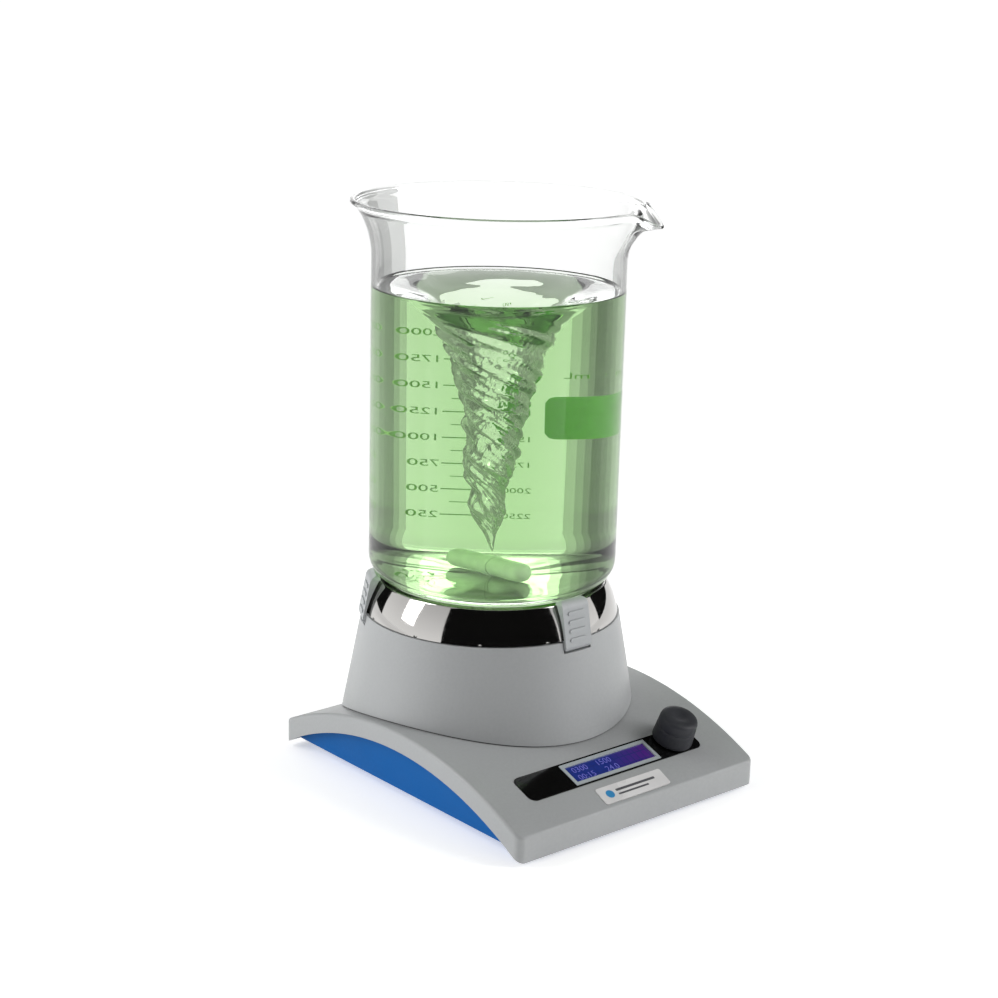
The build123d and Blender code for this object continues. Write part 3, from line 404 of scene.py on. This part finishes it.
GREY = (0.375, 0.385, 0.39)
BLUE = (0.0005, 0.10, 0.35)
materials = {
    "grey_plastic": moulded_plastic("grey_housing_plastic", GREY, 0.42),
    "clip_plastic": moulded_plastic("clip_plastic", (0.385, 0.40, 0.41), 0.40),
    "blue_plastic": moulded_plastic("blue_housing_plastic", BLUE, 0.5, shine=0.12),
    "black_rubber": soft_rubber("foot_rubber", (0.02, 0.02, 0.021)),
    "dark_seal": soft_rubber("seal_rubber", (0.09, 0.09, 0.09)),
    "zinc_steel": brushed_metal("zinc_plated_steel", (0.62, 0.62, 0.60), 0.3),
    "steel_pins": brushed_metal("ground_steel", (0.60, 0.60, 0.60), 0.22),
    "dark_chrome": polished_dark_metal("polished_dark_plating"),
    "white_ceramic": glazed_plate("glazed_top_plate"),
    "black_panel": gloss_plastic("gloss_black_panel", (0.004, 0.004, 0.004), 0.06),
    "bezel_plastic": moulded_plastic("bezel_plastic", (0.40, 0.44, 0.46), 0.35, 0.2),
    "screen_glass": display_glass("display_screen_glass"),
    "green_board": circuit_board("circuit_board"),
    "badge_plate": gloss_plastic("badge_plate", (0.72, 0.71, 0.71), 0.25),
    "black_plastic": moulded_plastic("black_moulding", (0.018, 0.018, 0.02), 0.4),
    "knob_plastic": soft_rubber("soft_touch_knob", (0.019, 0.020, 0.025), 0.5),
    "bracket_steel": brushed_metal("rolled_sheet_steel", (0.5, 0.5, 0.5), 0.35, (1, 40, 1)),
    "motor_steel": brushed_metal("drawn_steel_can", (0.55, 0.55, 0.54), 0.28),
    "copper_windings": enamelled_windings("enamelled_windings"),
    "bearing_steel": brushed_metal("bearing_steel", (0.65, 0.65, 0.65), 0.15),
    "hub_aluminium": brushed_metal("turned_aluminium", (0.75, 0.75, 0.76), 0.3),
    "black_steel": brushed_metal("black_oxide_steel", (0.05, 0.05, 0.055), 0.4),
    "carrier_plastic": moulded_plastic("carrier_moulding", (0.05, 0.05, 0.055), 0.5),
    "magnet_nickel": brushed_metal("nickel_plating", (0.70, 0.67, 0.62), 0.18),
    "capacitor_sleeve": gloss_plastic("capacitor_sleeve", (0.012, 0.012, 0.05), 0.25),
    "connector_plastic": moulded_plastic("connector_moulding", (0.72, 0.68, 0.56), 0.45),
    "rocker_plastic": gloss_plastic("rocker_plastic", (0.012, 0.012, 0.012), 0.2),
    "cable_sleeve": soft_rubber("cable_sleeve", (0.02, 0.02, 0.02), 0.5),
    "ribbon_grey": soft_rubber("ribbon_sleeve", (0.35, 0.35, 0.37), 0.5),
    "beaker_glass": clear_glass("clear_glass"),
    "green_liquid": green_liquid("green_liquid"),
    "bar_ptfe": bar_coating("bar_coating"),
}

slot_of = {entry["node"]: entry["material_slot"] for entry in frame["record"]["subparts"]}
for node_name, node in nodes.items():
    node.data.materials.clear()
    node.data.materials.append(materials[slot_of[node_name]])


def finish_piece(piece, body, slot, material=None, stands_for=()):
    piece.data.materials.append(material or materials[slot])
    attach(piece, body)
    if stands_for:
        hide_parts(*stands_for)


# ------------------------------------------------------------------ beaker
def glass_profile():
    """Closed outline of the glass wall: up the outside, over the rim, down the inside."""
    heel_centre = (GLASS_RADIUS - HEEL, PLATE_Z + HEEL)
    low = PLATE_Z + 0.15 * MM
    flare_low = RIM_Z - FLARE_HEIGHT
    outline = [(0.0, low + 0.5 * MM), (0.4 * GLASS_RADIUS, low + 0.45 * MM)]
    outline += [(GLASS_RADIUS - HEEL - 6 * MM, low + 0.2 * MM)]
    outline += [(r, max(z, low)) for r, z in arc(heel_centre, HEEL, -90, 0, 14)]
    outline += [(GLASS_RADIUS, z) for z in spaced(PLATE_Z + HEEL + 8 * MM, flare_low, 22)]
    outline += [flare_point(0.0, t) for t in spaced(0.06, 0.93, 14)]
    bead = (RIM_RADIUS - BEAD, RIM_Z - BEAD)
    outline += arc(bead, BEAD, -40, 212, 14)
    outline += [flare_point(GLASS_WALL, t) for t in spaced(0.86, 0.06, 14)]
    outline += [(INNER_RADIUS, z) for z in spaced(flare_low, INNER_FLOOR_Z + HEEL, 22)]
    inner_heel = HEEL - GLASS_WALL
    inner_centre = (INNER_RADIUS - inner_heel, INNER_FLOOR_Z + inner_heel)
    outline += arc(inner_centre, inner_heel, 0, -90, 12)[1:]
    outline += [(0.5 * INNER_RADIUS, INNER_FLOOR_Z + 0.3 * MM), (0.0, INNER_FLOOR_Z + 0.4 * MM)]
    return outline


def flare_point(inset, t):
    """Point on the flare under the rim, an arc that starts upright."""
    turn = FLARE_TURN * t
    centre = GLASS_RADIUS + FLARE_RADIUS
    reach = FLARE_RADIUS + inset
    return (centre - reach * cos(turn), RIM_Z - FLARE_HEIGHT + reach * sin(turn))


def pull_spout(radius, height, angle):
    """Push the rim out and down where the pouring lip is."""
    offset = (angle - SPOUT_ANGLE + pi) % (2 * pi) - pi
    across = exp(-((offset / SPOUT_WIDTH) ** 2))
    shoulders = exp(-((offset / (SPOUT_WIDTH * 2.4)) ** 2)) - across
    up = smoothstep(RIM_Z - 34 * MM, RIM_Z, height)
    top = smoothstep(RIM_Z - 16 * MM, RIM_Z, height)
    radius += SPOUT_REACH * across * up**1.3 - 1.6 * MM * shoulders * up
    height -= SPOUT_DIP * across * top
    return radius, height


beaker = new_object(
    "beaker_glass", lambda bm: lathe_mesh(bm, glass_profile(), 256, None, pull_spout, closed=False)
)
finish_piece(beaker, "beaker_and_liquid", "beaker_glass", stands_for=("beaker",))

# ------------------------------------------------------------------ liquid with its vortex
# radius of the funnel at depths below the liquid's level, both in millimetres
FUNNEL = (
    (0.0, 73.0),
    (0.6, 66.0),
    (2.6, 56.0),
    (6.0, 47.0),
    (10.5, 38.5),
    (22.5, 27.5),
    (39.5, 21.5),
    (56.5, 17.5),
    (73.0, 14.2),
    (86.5, 12.2),
    (102.0, 11.4),
    (111.0, 9.4),
    (120.5, 6.4),
    (131.0, 8.0),
    (140.0, 5.6),
    (146.0, 3.0),
    (152.0, 1.6),
    (157.0, 0.6),
)


def funnel_points(count):
    """Smooth (radius, depth) points along the funnel, in metres."""
    points = [Vector((radius, depth)) * MM for depth, radius in FUNNEL]
    smooth = []
    spans = len(points) - 1
    for step in range(count):
        t = spans * step / (count - 1)
        k = min(int(t), spans - 1)
        f = t - k
        a = points[max(k - 1, 0)]
        b = points[k]
        c = points[k + 1]
        d = points[min(k + 2, spans)]
        smooth.append(
            0.5
            * (
                2 * b
                + (c - a) * f
                + (2 * a - 5 * b + 4 * c - d) * f * f
                + (3 * b - a - 3 * c + d) * f**3
            )
        )
    return smooth


TWIST = -95.0  # radians of twist for each metre of depth
RIPPLE_SEED = Vector((3.7, 1.9, 8.2))


def ripple(radius, height, angle):
    """Twisted, rope-like ripples on the funnel's wall, fading out on the open surface."""
    depth = LIQUID_Z - height
    against_glass = depth > 0.2 * LIQUID_Z and radius > 60 * MM
    if against_glass:
        return radius, height
    twisted = angle + TWIST * depth
    reach = smoothstep(2 * MM, 26 * MM, depth) * smoothstep(172 * MM, 120 * MM, depth)
    inner = smoothstep(60 * MM, 22 * MM, radius)
    along = Vector((cos(twisted), sin(twisted), depth * 26)) * 1.35
    broad = noise.noise(along + RIPPLE_SEED)
    fine = noise.noise(along * 2.9 + RIPPLE_SEED * 2)
    crisp = noise.noise(along * 6.5 + RIPPLE_SEED * 3)
    strands = sin(5 * twisted + 9 * noise.noise(Vector((depth * 30, 0, 5))))
    swell = (2.1 * broad + 1.9 * fine + 0.8 * crisp + 0.7 * strands) * MM
    swell *= reach * inner * min(1.0, radius / (9 * MM))
    surface = noise.noise(Vector((cos(angle), sin(angle), 0)) * radius * 60 + RIPPLE_SEED)
    swirl = sin(2 * angle + radius * 90) * 0.5 * MM + surface * 0.8 * MM
    height += swirl * smoothstep(73 * MM, 45 * MM, radius) * (1 - reach)
    return radius + swell, height


def wander(point):
    """Bend the funnel's axis a little, more towards its tip."""
    depth = LIQUID_Z - point.z
    grow = smoothstep(30 * MM, 150 * MM, depth)
    near = smoothstep(45 * MM, 25 * MM, (point - Vector((AXIS.x, AXIS.y, point.z))).length)
    sway = Vector((sin(depth * 42 + 0.4), cos(depth * 37 + 1.1), 0)) * 3.2 * MM
    return point + sway * grow * near


def liquid_profile():
    skin = 0.12 * MM  # wets into the glass, so that no air film shows between them
    inner_heel = HEEL - GLASS_WALL + skin
    centre = (INNER_RADIUS + skin - inner_heel, INNER_FLOOR_Z - skin + inner_heel)
    outline = [(0.0, INNER_FLOOR_Z + 0.2 * MM), (0.5 * INNER_RADIUS, INNER_FLOOR_Z + 0.1 * MM)]
    outline += arc(centre, inner_heel, -90, 0, 12)
    outline += [(INNER_RADIUS + skin, z) for z in spaced(INNER_FLOOR_Z + 20 * MM, LIQUID_Z, 16)]
    outline += [(INNER_RADIUS + skin, LIQUID_Z + 1.4 * MM)]
    outline += [(INNER_RADIUS - 0.5 * MM, LIQUID_Z + 0.9 * MM)]
    outline += [(INNER_RADIUS - 1.6 * MM, LIQUID_Z + 0.3 * MM)]
    for point in funnel_points(210)[4:]:
        outline.append((max(point.x, 0.0), LIQUID_Z - point.y))
    outline.append((0.0, LIQUID_Z - 158.5 * MM))
    return outline


def fill_liquid(bm):
    lathe_mesh(bm, liquid_profile(), 224, None, ripple, closed=False)
    for vert in bm.verts:
        if LIQUID_Z - vert.co.z > 4 * MM:
            vert.co = wander(vert.co)


liquid = new_object("liquid_with_vortex", fill_liquid)
finish_piece(liquid, "beaker_and_liquid", "green_liquid", stands_for=("liquid",))


# ------------------------------------------------------------------ scale printed on the glass
INK = printed_ink("scale_ink", (0.40, 0.64, 0.22))
PATCH_INK = printed_ink("marking_patch_ink", (0.36, 0.80, 0.16))
SCALE_ANGLE = radians(49.1)  # middle of the printing, on the rear wall, read from behind
SCALE_RADIUS = GLASS_RADIUS + 0.10 * MM
INK_DEPTH = 0.07 * MM
MARK_STEP = 16.6 * MM
FIRST_MARK_Z = 145.3 * MM
MARK_VALUES = range(250, 2001, 250)
MARK_START = 4.0 * MM
LONG_MARK = 17.4 * MM
SHORT_MARK = 14.6 * MM
PATCH_MIDDLE = (-32.1 * MM, 209 * MM)
PATCH_HALF = (16.4 * MM, 13.6 * MM)
PATCH_CORNER = 4 * MM


def wrap(across, height, lift=0.0):
    """Point on the glass at a distance round it, read left to right from outside."""
    turn = SCALE_ANGLE + across / SCALE_RADIUS
    radius = SCALE_RADIUS + lift
    return Vector((AXIS.x + radius * cos(turn), AXIS.y + radius * sin(turn), height))


def wrapped_shape(bm, columns):
    """Thin ink layer from (across, low, high) columns."""
    rows = []
    for across, low, high in columns:
        corners = [(low, 0.0), (high, 0.0), (high, -INK_DEPTH), (low, -INK_DEPTH)]
        rows.append([bm.verts.new(wrap(across, z, lift)) for z, lift in corners])
    for before, after in zip(rows, rows[1:]):
        for k in range(4):
            m = (k + 1) % 4
            bm.faces.new((before[k], after[k], after[m], before[m]))
    bm.faces.new(rows[0])
    bm.faces.new(rows[-1])


def fill_marks(bm):
    for count in range(len(MARK_VALUES)):
        height = FIRST_MARK_Z + MARK_STEP * count
        for rise, end, thick in ((0.0, LONG_MARK, 0.7 * MM), (0.5, SHORT_MARK, 0.55 * MM)):
            z = height + MARK_STEP * rise
            spread = spaced(MARK_START, end, 8)
            wrapped_shape(bm, [(across, z - thick / 2, z + thick / 2) for across in spread])


def fill_patch(bm):
    """Rounded patch for pencil notes."""
    half_width, half_height = PATCH_HALF
    columns = []
    for across in spaced(-half_width, half_width, 28):
        inset = max(0.0, abs(across) - (half_width - PATCH_CORNER))
        cut = PATCH_CORNER - sqrt(max(0.0, PATCH_CORNER**2 - inset**2))
        low = PATCH_MIDDLE[1] - half_height + cut
        high = PATCH_MIDDLE[1] + half_height - cut
        columns.append((PATCH_MIDDLE[0] + across, low, high))
    wrapped_shape(bm, columns)


marks = new_object("beaker_scale_marks", fill_marks, smooth=False)
finish_piece(marks, "beaker_and_liquid", "badge_plate", INK)
patch = new_object("beaker_marking_patch", fill_patch, smooth=False)
finish_piece(patch, "beaker_and_liquid", "badge_plate", PATCH_INK)


def printed_text(name, words, size, place, body, slot, material):
    """Flat text made into a thin mesh and laid on a surface by a function of (x, y, lift)."""
    curve = bpy.data.curves.new(name, "FONT")
    curve.body = words
    curve.size = size
    curve.extrude = INK_DEPTH / 2
    curve.resolution_u = 3
    holder = bpy.data.objects.new(name + "_curve", curve)
    bpy.context.scene.collection.objects.link(holder)
    bpy.context.view_layer.update()
    flat = bpy.data.meshes.new_from_object(holder)
    bpy.data.objects.remove(holder)
    bpy.data.curves.remove(curve)

    def fill(bm):
        bm.from_mesh(flat)
        bmesh.ops.remove_doubles(bm, verts=bm.verts, dist=1e-6)
        for vert in bm.verts:
            vert.co = place(vert.co.x, vert.co.y, vert.co.z)

    piece = new_object(name, fill, smooth=False)
    bpy.data.meshes.remove(flat)
    finish_piece(piece, body, slot, material)


def on_glass(start, height):
    """Place text on the glass from a distance round it and a height."""
    return lambda x, y, lift: wrap(start + x, height + y, lift)


for count, value in enumerate(MARK_VALUES):
    height = FIRST_MARK_Z + MARK_STEP * count
    own = on_glass(LONG_MARK + 0.5 * MM, height - 2.2 * MM)
    printed_text(
        f"beaker_number_{value}", str(value), 6.2 * MM, own, "beaker_and_liquid", "badge_plate", INK
    )
    # the other column counts what has been poured out
    left = MARK_VALUES[-1] + MARK_VALUES[0] * 2 - value
    other = on_glass(-12.0 * MM, height - 1.7 * MM)
    printed_text(
        f"beaker_poured_{left}", str(left), 4.8 * MM, other, "beaker_and_liquid", "badge_plate", INK
    )
above_patch = PATCH_MIDDLE[1] + PATCH_HALF[1]
for name, words, size, rise in (("volume", "3000 mL", 5.6, 11.5), ("tolerance", "5 %", 4.2, 3.5)):
    place = on_glass(-41 * MM, above_patch + rise * MM)
    printed_text(
        f"beaker_{name}", words, size * MM, place, "beaker_and_liquid", "badge_plate", INK
    )

# ------------------------------------------------------------------ knob
def knob_place():
    """Matrix of the knob: its axis along z, its x along the object's X."""
    across = Vector((1, 0, 0))
    along = KNOB_AXIS
    up = along.cross(across).normalized()
    place = Matrix((across, up, along)).transposed().to_4x4()
    place.translation = KNOB_POINT
    return place


def knob_profile():
    """Soft-touch cap: skirt, grip groove, rounded crown and finger dimple."""
    outline = [(0.0, 13.8), (2.9, 13.8), (3.05, 13.6), (3.05, 4.6), (8.0, 4.6), (8.15, 4.4)]
    outline += [(8.15, 1.25), (8.5, 1.2), (12.1, 1.2), (12.45, 1.35), (12.58, 1.7)]
    outline += [(12.5, 3.5), (12.32, 6.5), (12.15, 9.5), (12.1, 10.3)]
    outline += [(11.92, 10.55), (11.84, 10.8), (11.92, 11.05), (12.02, 11.3)]
    outline += [(11.9, 13.5), (11.78, 15.4)]
    outline += [(11.55, 16.5), (11.15, 17.3), (10.5, 17.85), (9.5, 18.2), (8.2, 18.42), (6.6, 18.48)]
    outline += [(5.2, 18.4), (4.0, 18.15), (2.6, 17.88), (1.2, 17.73), (0.0, 17.7)]
    return [(radius * MM, height * MM) for radius, height in outline]


knob = new_object(
    "knob_cap", lambda bm: lathe_mesh(bm, knob_profile(), 96, knob_place(), None, closed=False)
)
finish_piece(knob, "knob_and_shaft", "knob_plastic", stands_for=("knob",))

# ------------------------------------------------------------------ display digits and badge mark
DIGIT_INK = printed_ink("display_digits", (0.10, 0.10, 0.42), 0.4, 0.35)
MARK_INK = printed_ink("badge_mark_ink", (0.03, 0.26, 0.55), 0.4)
BAR_INK = printed_ink("badge_bar_ink", (0.09, 0.09, 0.10), 0.4)
SCREEN_DEPTH = 5.6 * MM
BADGE_DEPTH = 0.8 * MM
BADGE_LEAN = radians(25.66)


def middle_of(node_name):
    low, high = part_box(node_name)
    return (low + high) / 2


def on_slope(node_name, normal, depth, left, low):
    """Place things on the upper face of a flat node that leans forwards."""
    across = Vector((1, 0, 0))
    up = normal.cross(across)
    corner = middle_of(node_name) + normal * (depth / 2 + INK_DEPTH) + across * left + up * low
    return lambda x, y, lift: corner + across * x + up * y + normal * lift


for row, words, low in (("upper", "0300    1500", 1.0), ("lower", "00:15     24.0", -5.4)):
    place = on_slope("lcd_screen", KNOB_AXIS, SCREEN_DEPTH, -28 * MM, low * MM)
    printed_text(f"display_{row}_row", words, 6.0 * MM, place, "base", "screen_glass", DIGIT_INK)

badge_normal = Vector((0, -sin(BADGE_LEAN), cos(BADGE_LEAN)))


def fill_disc(bm):
    place = on_slope("badge", badge_normal, BADGE_DEPTH, -18.5 * MM, 0.0)
    rim = [(2.9 * MM * cos(2 * pi * k / 32), 2.9 * MM * sin(2 * pi * k / 32)) for k in range(32)]
    lower = [bm.verts.new(place(x, y, -INK_DEPTH)) for x, y in rim]
    upper = [bm.verts.new(place(x, y, 0)) for x, y in rim]
    bm.faces.new(upper)
    bm.faces.new(reversed(lower))
    for k in range(32):
        m = (k + 1) % 32
        bm.faces.new((lower[k], lower[m], upper[m], upper[k]))


def fill_bars(bm):
    place = on_slope("badge", badge_normal, BADGE_DEPTH, -13.0 * MM, 0.0)
    for low, high, length in ((0.5, 2.1, 31.0), (-2.4, -1.2, 24.0)):
        verts = []
        for lift in (-INK_DEPTH, 0.0):
            for x, y in ((0.0, low), (length, low), (length, high), (0.0, high)):
                verts.append(bm.verts.new(place(x * MM, y * MM, lift)))
        bm.faces.new(verts[4:])
        bm.faces.new(reversed(verts[:4]))
        for k in range(4):
            m = (k + 1) % 4
            bm.faces.new((verts[k], verts[m], verts[m + 4], verts[k + 4]))


finish_piece(new_object("badge_dot", fill_disc, smooth=False), "base", "badge_plate", MARK_INK)
finish_piece(new_object("badge_bars", fill_bars, smooth=False), "base", "badge_plate", BAR_INK)

# ------------------------------------------------------------------ camera
CAMERA_AZIMUTH = radians(-40.87)
CAMERA_ELEVATION = radians(15.63)
CAMERA_ROLL = radians(1.48)
CAMERA_DISTANCE = 1.25
CAMERA_LENS = 75.07
LOOK_AT = Vector((-10.76, 7.82, 172.1)) * MM


def place_camera():
    back = Vector(
        (
            sin(CAMERA_AZIMUTH) * cos(CAMERA_ELEVATION),
            -cos(CAMERA_AZIMUTH) * cos(CAMERA_ELEVATION),
            sin(CAMERA_ELEVATION),
        )
    )
    right = (-back).cross(Vector((0, 0, 1))).normalized()
    up = right.cross(-back)
    leaned_right = right * cos(CAMERA_ROLL) + up * sin(CAMERA_ROLL)
    leaned_up = up * cos(CAMERA_ROLL) - right * sin(CAMERA_ROLL)
    turn = Matrix((leaned_right, leaned_up, back)).transposed().to_4x4()
    turn.translation = LOOK_AT + back * CAMERA_DISTANCE
    data = bpy.data.cameras.new("camera")
    data.lens = CAMERA_LENS
    data.sensor_width = 36.0
    data.clip_start = 0.05
    camera = bpy.data.objects.new("camera", data)
    camera.matrix_world = turn
    bpy.context.scene.collection.objects.link(camera)
    bpy.context.scene.camera = camera
    return back


toward_camera = place_camera()


# ------------------------------------------------------------------ studio
def stage_look(name, colour, glow=0.0):
    look = Shader(name, colour, 0.9)
    look.set("Specular IOR Level", 0.0)
    look.vary_colour(look.noise(1.5, 2.0), scaled(colour, 0.99), 0.5)
    if glow:
        look.set("Emission Color", (1, 1, 1, 1))
        look.set("Emission Strength", glow)
    return look.material


def studio_card(
    name, turns, profile, colour, glow=0.0, seen_in_glass=False, shades=True, mirrored=True
):
    """Curved card round the object, between two turns from the camera's direction.

    Positive turns go to the camera's right. The card is never seen directly. It is mirrored
    in glossy surfaces, shades the object and shows through the glass only where asked.
    """
    flat = Vector((toward_camera.x, toward_camera.y, 0)).normalized()

    def fill(bm):
        columns = []
        for degrees in spaced(turns[0], turns[1], 13):
            out = Matrix.Rotation(radians(degrees), 3, "Z") @ flat
            foot = Vector((AXIS.x, AXIS.y, 0))
            columns.append([bm.verts.new(foot + out * r + Vector((0, 0, z))) for r, z in profile])
        for before, after in zip(columns, columns[1:]):
            for k in range(len(profile) - 1):
                bm.faces.new((before[k], after[k], after[k + 1], before[k + 1]))

    card = new_object(name, fill)
    card.data.materials.append(stage_look(name + "_paint", colour, glow))
    card.visible_camera = False
    card.visible_transmission = seen_in_glass
    card.visible_diffuse = shades
    card.visible_glossy = mirrored
    card.visible_shadow = shades


def dome(radius, low, high):
    """Profile of a part of a sphere round the beaker, between two elevations."""
    angles = [radians(degrees) for degrees in spaced(low, high, 9)]
    return [(radius * cos(angle), 0.12 + radius * sin(angle)) for angle in angles]


def upright(radius, low, high):
    return [(radius, low), (radius, high)]


def softbox(name, turn, elevation, distance, width, height, power):
    flat = Vector((toward_camera.x, toward_camera.y, 0)).normalized()
    out = Matrix.Rotation(radians(turn), 3, "Z") @ flat * cos(radians(elevation))
    out.z = sin(radians(elevation))
    data = bpy.data.lights.new(name, "AREA")
    data.shape = "RECTANGLE"
    data.size = width
    data.size_y = height
    data.energy = power
    lamp = bpy.data.objects.new(name, data)
    lamp.location = Vector((AXIS.x, AXIS.y, 0.14)) + out * distance
    lamp.rotation_euler = out.to_track_quat("Z", "Y").to_euler()
    lamp.visible_camera = False
    lamp.visible_transmission = False
    bpy.context.scene.collection.objects.link(lamp)


FLOOR_HALF = 60.0


def fill_floor(bm):
    corners = ((-1, -1), (1, -1), (1, 1), (-1, 1))
    bm.faces.new([bm.verts.new((x * FLOOR_HALF, y * FLOOR_HALF, 0)) for x, y in corners])


floor = new_object("studio_floor", fill_floor, smooth=False)
floor.data.materials.append(stage_look("studio_floor_paint", (0.90, 0.90, 0.90), 0.45))

HORIZON_LIGHT = 1.25
ZENITH_LIGHT = 0.42


def light_world():
    """White surroundings, bright all round at eye level and dimmer overhead."""
    world = bpy.data.worlds.new("studio")
    bpy.context.scene.world = world
    world.use_nodes = True
    nodes_of_world = world.node_tree.nodes
    link = world.node_tree.links.new
    background = nodes_of_world["Background"]
    background.inputs["Color"].default_value = (1, 1, 1, 1)
    direction = nodes_of_world.new("ShaderNodeTexCoord")
    split = nodes_of_world.new("ShaderNodeSeparateXYZ")
    fade = nodes_of_world.new("ShaderNodeMapRange")
    fade.inputs["From Min"].default_value = 0.0
    fade.inputs["From Max"].default_value = 1.0
    fade.inputs["To Min"].default_value = HORIZON_LIGHT
    fade.inputs["To Max"].default_value = ZENITH_LIGHT
    link(direction.outputs["Generated"], split.inputs["Vector"])
    link(split.outputs["Z"], fade.inputs["Value"])
    link(fade.outputs["Result"], background.inputs["Strength"])


light_world()

BLACK = (0.008, 0.008, 0.008)
WHITE = (1, 1, 1)
FLAG_DISTANCE = 1.8
LAMP_DISTANCE = 1.7
studio_card("front_flag", (-42, 62), dome(FLAG_DISTANCE, -1, 58), BLACK)
studio_card("right_flag", (112, 158), dome(FLAG_DISTANCE, -1, 30), BLACK, shades=False)
studio_card("left_flag", (-150, -112), dome(FLAG_DISTANCE, -1, 30), BLACK, shades=False)
studio_card("overhead_flag", (120, 220), dome(FLAG_DISTANCE, 34, 70), BLACK)
studio_card("rear_glow", (157, 203), dome(FLAG_DISTANCE, 6, 28), WHITE, 0.9, True, False)
studio_card("rear_lamp", (163, 193), dome(LAMP_DISTANCE, 9, 24), WHITE, 2.4, True, False, False)

FLOOR_SCREEN_RADIUS = 0.44
FLOOR_SCREEN_Z = 0.001
FLOOR_SCREEN_CORNERS = 32


def fill_floor_screen(bm):
    ring = []
    for corner in range(FLOOR_SCREEN_CORNERS):
        turn = 2 * corner * pi / FLOOR_SCREEN_CORNERS
        place = (FLOOR_SCREEN_RADIUS * cos(turn), FLOOR_SCREEN_RADIUS * sin(turn), FLOOR_SCREEN_Z)
        ring.append(bm.verts.new(place))
    bm.faces.new(ring)


# darkens what the liquid's open surface shows from below; seen only through the glass
floor_screen = new_object("floor_screen", fill_floor_screen, smooth=False)
floor_screen.data.materials.append(stage_look("floor_screen_paint", (0.50, 0.53, 0.49)))
floor_screen.visible_camera = False
floor_screen.visible_diffuse = False
floor_screen.visible_glossy = False
floor_screen.visible_shadow = False

SCREEN_DISTANCE = 0.42
SCREEN_LOW = 0.002
SCREEN_TOP = 0.42


def refraction_screens(name, turns, greys):
    """Row of screens seen only through the glass, from the rear round to one side."""
    for count, grey in enumerate(greys):
        place = (turns[count], turns[count + 1])
        profile = upright(SCREEN_DISTANCE, SCREEN_LOW, SCREEN_TOP)
        paint = (grey, grey, grey)
        studio_card(f"{name}_{count}", place, profile, paint, 0.0, True, False, False)


# edges of the screens, and the grey of the screen between each two
LEFT_TURNS = (-168, -165, -162, -159, -153, -148, -142, -134, -128, -62)
LEFT_GREYS = (0.72, 0.5, 0.34, 0.2, 0.26, 0.34, 0.5, 0.6, 0.42)
RIGHT_TURNS = (163, 160, 157, 150, 144, 134, 128, 62)
RIGHT_GREYS = (0.72, 0.52, 0.32, 0.38, 0.5, 0.6, 0.42)
refraction_screens("rear_left_screen", LEFT_TURNS, LEFT_GREYS)
refraction_screens("rear_right_screen", RIGHT_TURNS, RIGHT_GREYS)

SOFTBOX_TURN = 78
SOFTBOX_ELEVATION = 28
SOFTBOX_DISTANCE = 1.3
SOFTBOX_SIZE = (0.35, 1.0)
SOFTBOX_POWER = 7.0
for side, turn in (("left", -SOFTBOX_TURN), ("right", SOFTBOX_TURN)):
    place = (turn, SOFTBOX_ELEVATION, SOFTBOX_DISTANCE)
    softbox(f"softbox_{side}", *place, *SOFTBOX_SIZE, SOFTBOX_POWER)

bpy.context.scene.view_settings.view_transform = "Standard"
